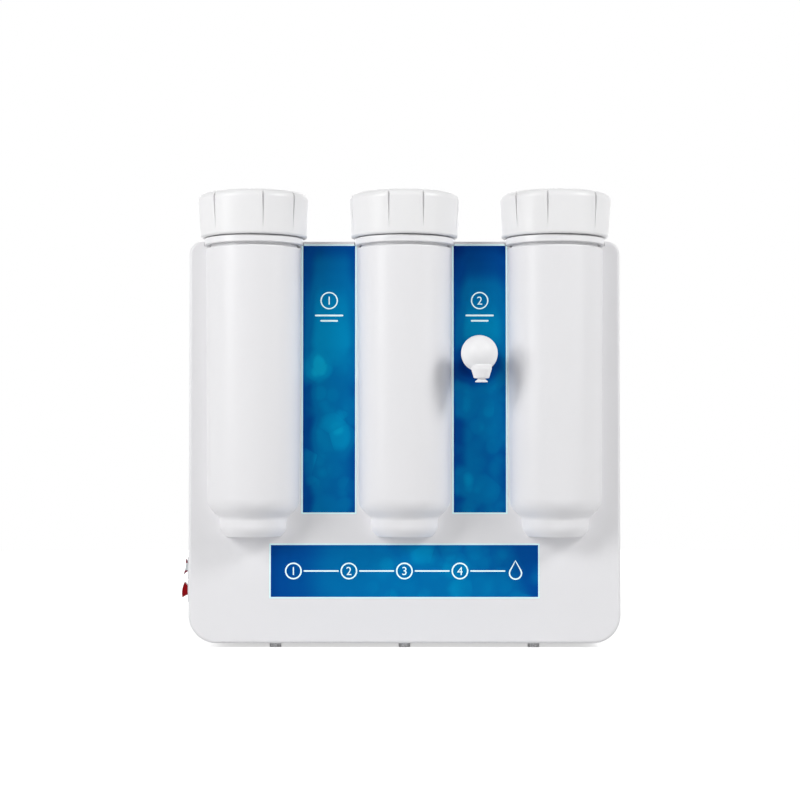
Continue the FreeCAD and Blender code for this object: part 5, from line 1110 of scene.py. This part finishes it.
def beads_in_net(made, angle, height):
    """Amber resin beads behind a white net."""
    one, other = (slanting(made, angle, height, NET_STARTS, NET_PITCH, way) for way in (1, -1))
    net = made.between(one.larger(other), 0.86, 0.94)
    beads = made.cells(BEAD_SIZE)
    amber = made.mix(made.luck(BEAD_SIZE), (0.36, 0.14, 0.02, 1.0), (0.70, 0.36, 0.08, 1.0))
    colour = made.mix(net, amber, (0.82, 0.82, 0.78, 1.0))
    return colour, net * 0.25 + 0.30, net * 0.3 - beads * 0.3


paint(cartridge("sediment_media", "sediment_cartridge", (0.84, 0.84, 0.84), yarn), "sediment_cartridge")
paint(cartridge("carbon_media", "carbon_cartridge", (0.10, 0.10, 0.105), carbon_block), "carbon_cartridge")
paint(cartridge("resin_media", "resin_cartridge", (0.10, 0.22, 0.50), beads_in_net), "resin_cartridge")
print("yarn starts:", YARN_STARTS, "bead, mm:", BEAD_SIZE)

# %% [markdown]
# ## The membrane element
#
# A reverse-osmosis element is a long sheet rolled up like a scroll and wrapped in tape. The tape winds
# round it with an overlap, which shows as a slanting step every few centimetres, and the pale green sheet
# shimmers through it. The element lies along the machine's width, so its angle is taken round that axis.

# %% Membrane wrap
TAPE_WIDTH = 38.0
TAPE_STEP = 0.12
CREASE_SIZE = 2.2


def membrane_wrap(name, node_name):
    """Wound film under tape that overlaps in a slanting step."""
    made = Finish(name)
    low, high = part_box(node_name)
    long_axis = max(range(3), key=lambda axis: (high - low)[axis])
    angle = made.round_axis(middle_of(node_name), long_axis)[1]
    turns = made.axes()[long_axis] / (TAPE_WIDTH * MM) + angle / (2 * math.pi)
    share = made.node("Math", {"operation": "FRACT"}, {0: turns})
    lap = made.between(share, 0.80, 0.83)
    creases = made.cloud(CREASE_SIZE, detail=3.0, stretch=(1.0, 6.0, 1.0))
    colour = made.mix(creases, (0.60, 0.66, 0.55, 1.0), (0.74, 0.78, 0.70, 1.0))
    return made.finished(
        Base_Color=made.mix(lap * 0.6, colour, (0.80, 0.84, 0.80, 1.0)),
        Roughness=creases * 0.16 + 0.16,
        Normal=made.bump(lap * TAPE_STEP + creases * 0.02),
    )


paint(membrane_wrap("membrane_wrap", "membrane_element"), "membrane_element")
print("tape, mm wide:", TAPE_WIDTH)

# %% [markdown]
# ## Paint, windings and powder
#
# The pump's motor and foot are powder coated. Powder melts into a skin like orange peel, with a few pits
# where a grain was missing. The valve coils are wound wire under a black moulding, and the windings print
# through it as fine rings across the coil's upright axis.

# %% Powder coat and coils
PEEL_SIZE = 1.1
PIT_PITCH = 5.0
WIRE_PITCH = 0.5


def powder_coat(name, colour):
    """Orange-peel paint with a few pits."""
    made = Finish(name)
    peel = made.cloud(PEEL_SIZE, detail=2.0)
    pits = made.between(made.cells(PIT_PITCH), 0.10, 0.04)
    return made.finished(
        Base_Color=made.shades(made.cloud(12.0, detail=3.0), colour, 0.10, 0.15),
        Roughness=peel * 0.12 + 0.30,
        Normal=made.bump(peel * 0.05 - pits * 0.06),
    )


def wound_coil(name, colour):
    """Black moulding through which wire prints."""
    made = Finish(name)
    wires = (made.axes()[2] * (2 * math.pi / (WIRE_PITCH * MM))).sine()
    return made.finished(
        Base_Color=made.shades(made.cloud(9.0), colour, 0.10, 0.20),
        Roughness=made.cloud(4.0, detail=3.0) * 0.15 + 0.36,
        Normal=made.bump(wires * 0.02 + made.cloud(GRAIN_SIZE) * 0.02),
    )


paint(powder_coat("motor_paint", (0.028, 0.028, 0.030)), "pump_motor")
paint(powder_coat("pump_foot_steel", (0.16, 0.165, 0.17)), "pump_foot")
paint(wound_coil("coil_plastic", (0.022, 0.022, 0.024)), "valve_coils")
print("orange peel, mm:", PEEL_SIZE)

# %% [markdown]
# ## The control board
#
# A circuit board is green laminate with copper tracks under its lacquer, and its parts stand out from one
# face. The model has it as one piece, so the finish tells laminate from parts by their distance from that
# face, and the parts from each other by where they stand: terminals low down, the transformer on the
# right and two capacitors on the left. Tracks are cells whose edges are stretched into lines.

# %% Board finish
LAMINATE = 1.6
TRACK_PITCH = 3.0
TRACK_EDGE = (0.10, 0.06)  # where a track ends and where it is full, as shares of the pitch
BLOTCH_SIZE = 14.0


def board_finish(name, node_name):
    """Lacquered laminate with tracks, and coloured parts standing on it."""
    made = Finish(name)
    x, y, z = made.axes()
    low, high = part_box(node_name)
    middle = (low + high) / 2
    on_part = made.between(y, low.y + (LAMINATE + 0.1) * MM, low.y + (LAMINATE + 0.3) * MM)
    to_edge = made.cells(TRACK_PITCH, "DISTANCE_TO_EDGE", stretch=(3.0, 1.0, 1.0))
    track = made.between(to_edge, *TRACK_EDGE)
    lacquer = made.mix(made.cloud(BLOTCH_SIZE), (0.004, 0.085, 0.030, 1.0), (0.006, 0.115, 0.042, 1.0))
    lacquer = made.mix(track * 0.7, lacquer, (0.030, 0.200, 0.070, 1.0))
    is_low = made.between(z, middle.z, middle.z - 1 * MM)
    is_right = made.between(x, middle.x - 0.5 * MM, middle.x + 0.5 * MM)
    upper = made.mix(is_right, (0.010, 0.014, 0.050, 1.0), (0.085, 0.060, 0.020, 1.0))
    parts = made.mix(is_low, upper, (0.020, 0.190, 0.060, 1.0))
    return made.finished(
        Base_Color=made.mix(on_part, lacquer, parts),
        Roughness=on_part * 0.18 + made.cloud(6.0) * 0.10 + 0.20,
        Normal=made.bump(track * (1 - on_part) * 0.03 + made.cloud(GRAIN_SIZE) * 0.006),
    )


paint(board_finish("board_laminate", "control_board"), "control_board")
print("laminate, mm:", LAMINATE)

# %% [markdown]
# ## The water tubes
#
# Quarter-inch tube is drawn from milky polyethylene. The die leaves long faint lines, and the wall lets
# some light through, which a little scattering under the skin imitates. Full transparency would cost far
# more to render, and inside a closed housing nobody could tell.

# %% Tube plastic
TUBE_MILK = (0.84, 0.86, 0.87)
CLOUDY_SIZE = 18.0
SKIN_SIZE = 1.2
SCATTER_DEPTH = 1.5


def tube_plastic(name):
    """Milky tube with a faint cloudiness."""
    made = Finish(name)
    cloudy = made.cloud(CLOUDY_SIZE, detail=3.0)
    skin = made.cloud(SKIN_SIZE, detail=2.0)
    return made.finished(
        Base_Color=made.shades(cloudy, TUBE_MILK, 0.06, 0.03),
        Roughness=skin * 0.12 + 0.26,
        Normal=made.bump(skin * 0.01),
        Subsurface_Weight=0.2,
        Subsurface_Scale=SCATTER_DEPTH * MM,
    )


paint(tube_plastic("tube_plastic"), "water_tubes")
missing = sorted(set(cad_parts) - painted)
print("pieces without a finish:", missing)

# %% [markdown]
# ## Port numbers on the back
#
# Behind, a plain number stands over each water port: 1 for the feed, 2 for the waste and 3 for the
# product, counted from the outside in. They are printed in grey ink, in the same way as the marks in
# front, and face backwards.

# %% Port numbers
PORT_FIGURE_SIZE = 8.0 * MM
PORT_FIGURE_RISE = 17.0 * MM  # above the ports' axis
PORT_PITCH = 32.0 * MM

port_ink = screen_ink("port_ink", (0.10, 0.11, 0.13))
unions_low, unions_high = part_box("bulkhead_unions")
ports_x, ports_z = (unions_low.x + unions_high.x) / 2, (unions_low.z + unions_high.z) / 2
back_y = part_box("rear_shell")[1].y
for k in range(3):
    port_sign = Mark()
    port_x = ports_x + (k - 1) * PORT_PITCH
    port_sign.numeral(str(k + 1), -port_x, ports_z + PORT_FIGURE_RISE, PORT_FIGURE_SIZE)
    print_mark(port_sign, "port_number_" + str(k + 1), "housing", back_y, port_ink,
               from_behind=True)

# %% [markdown]
# ## Keeping the sizes
#
# How far the dressed model's box reaches past the drawing's box is printed for each side, so that anyone
# can see what the finish added to the machine's size.

# %% Keep the sizes
visual_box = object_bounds()
grown = [round((visual_box[end][axis] - cad_box[end][axis]) / MM, 3) for end in (0, 1) for axis in range(3)]
print("grown by, mm:", grown)
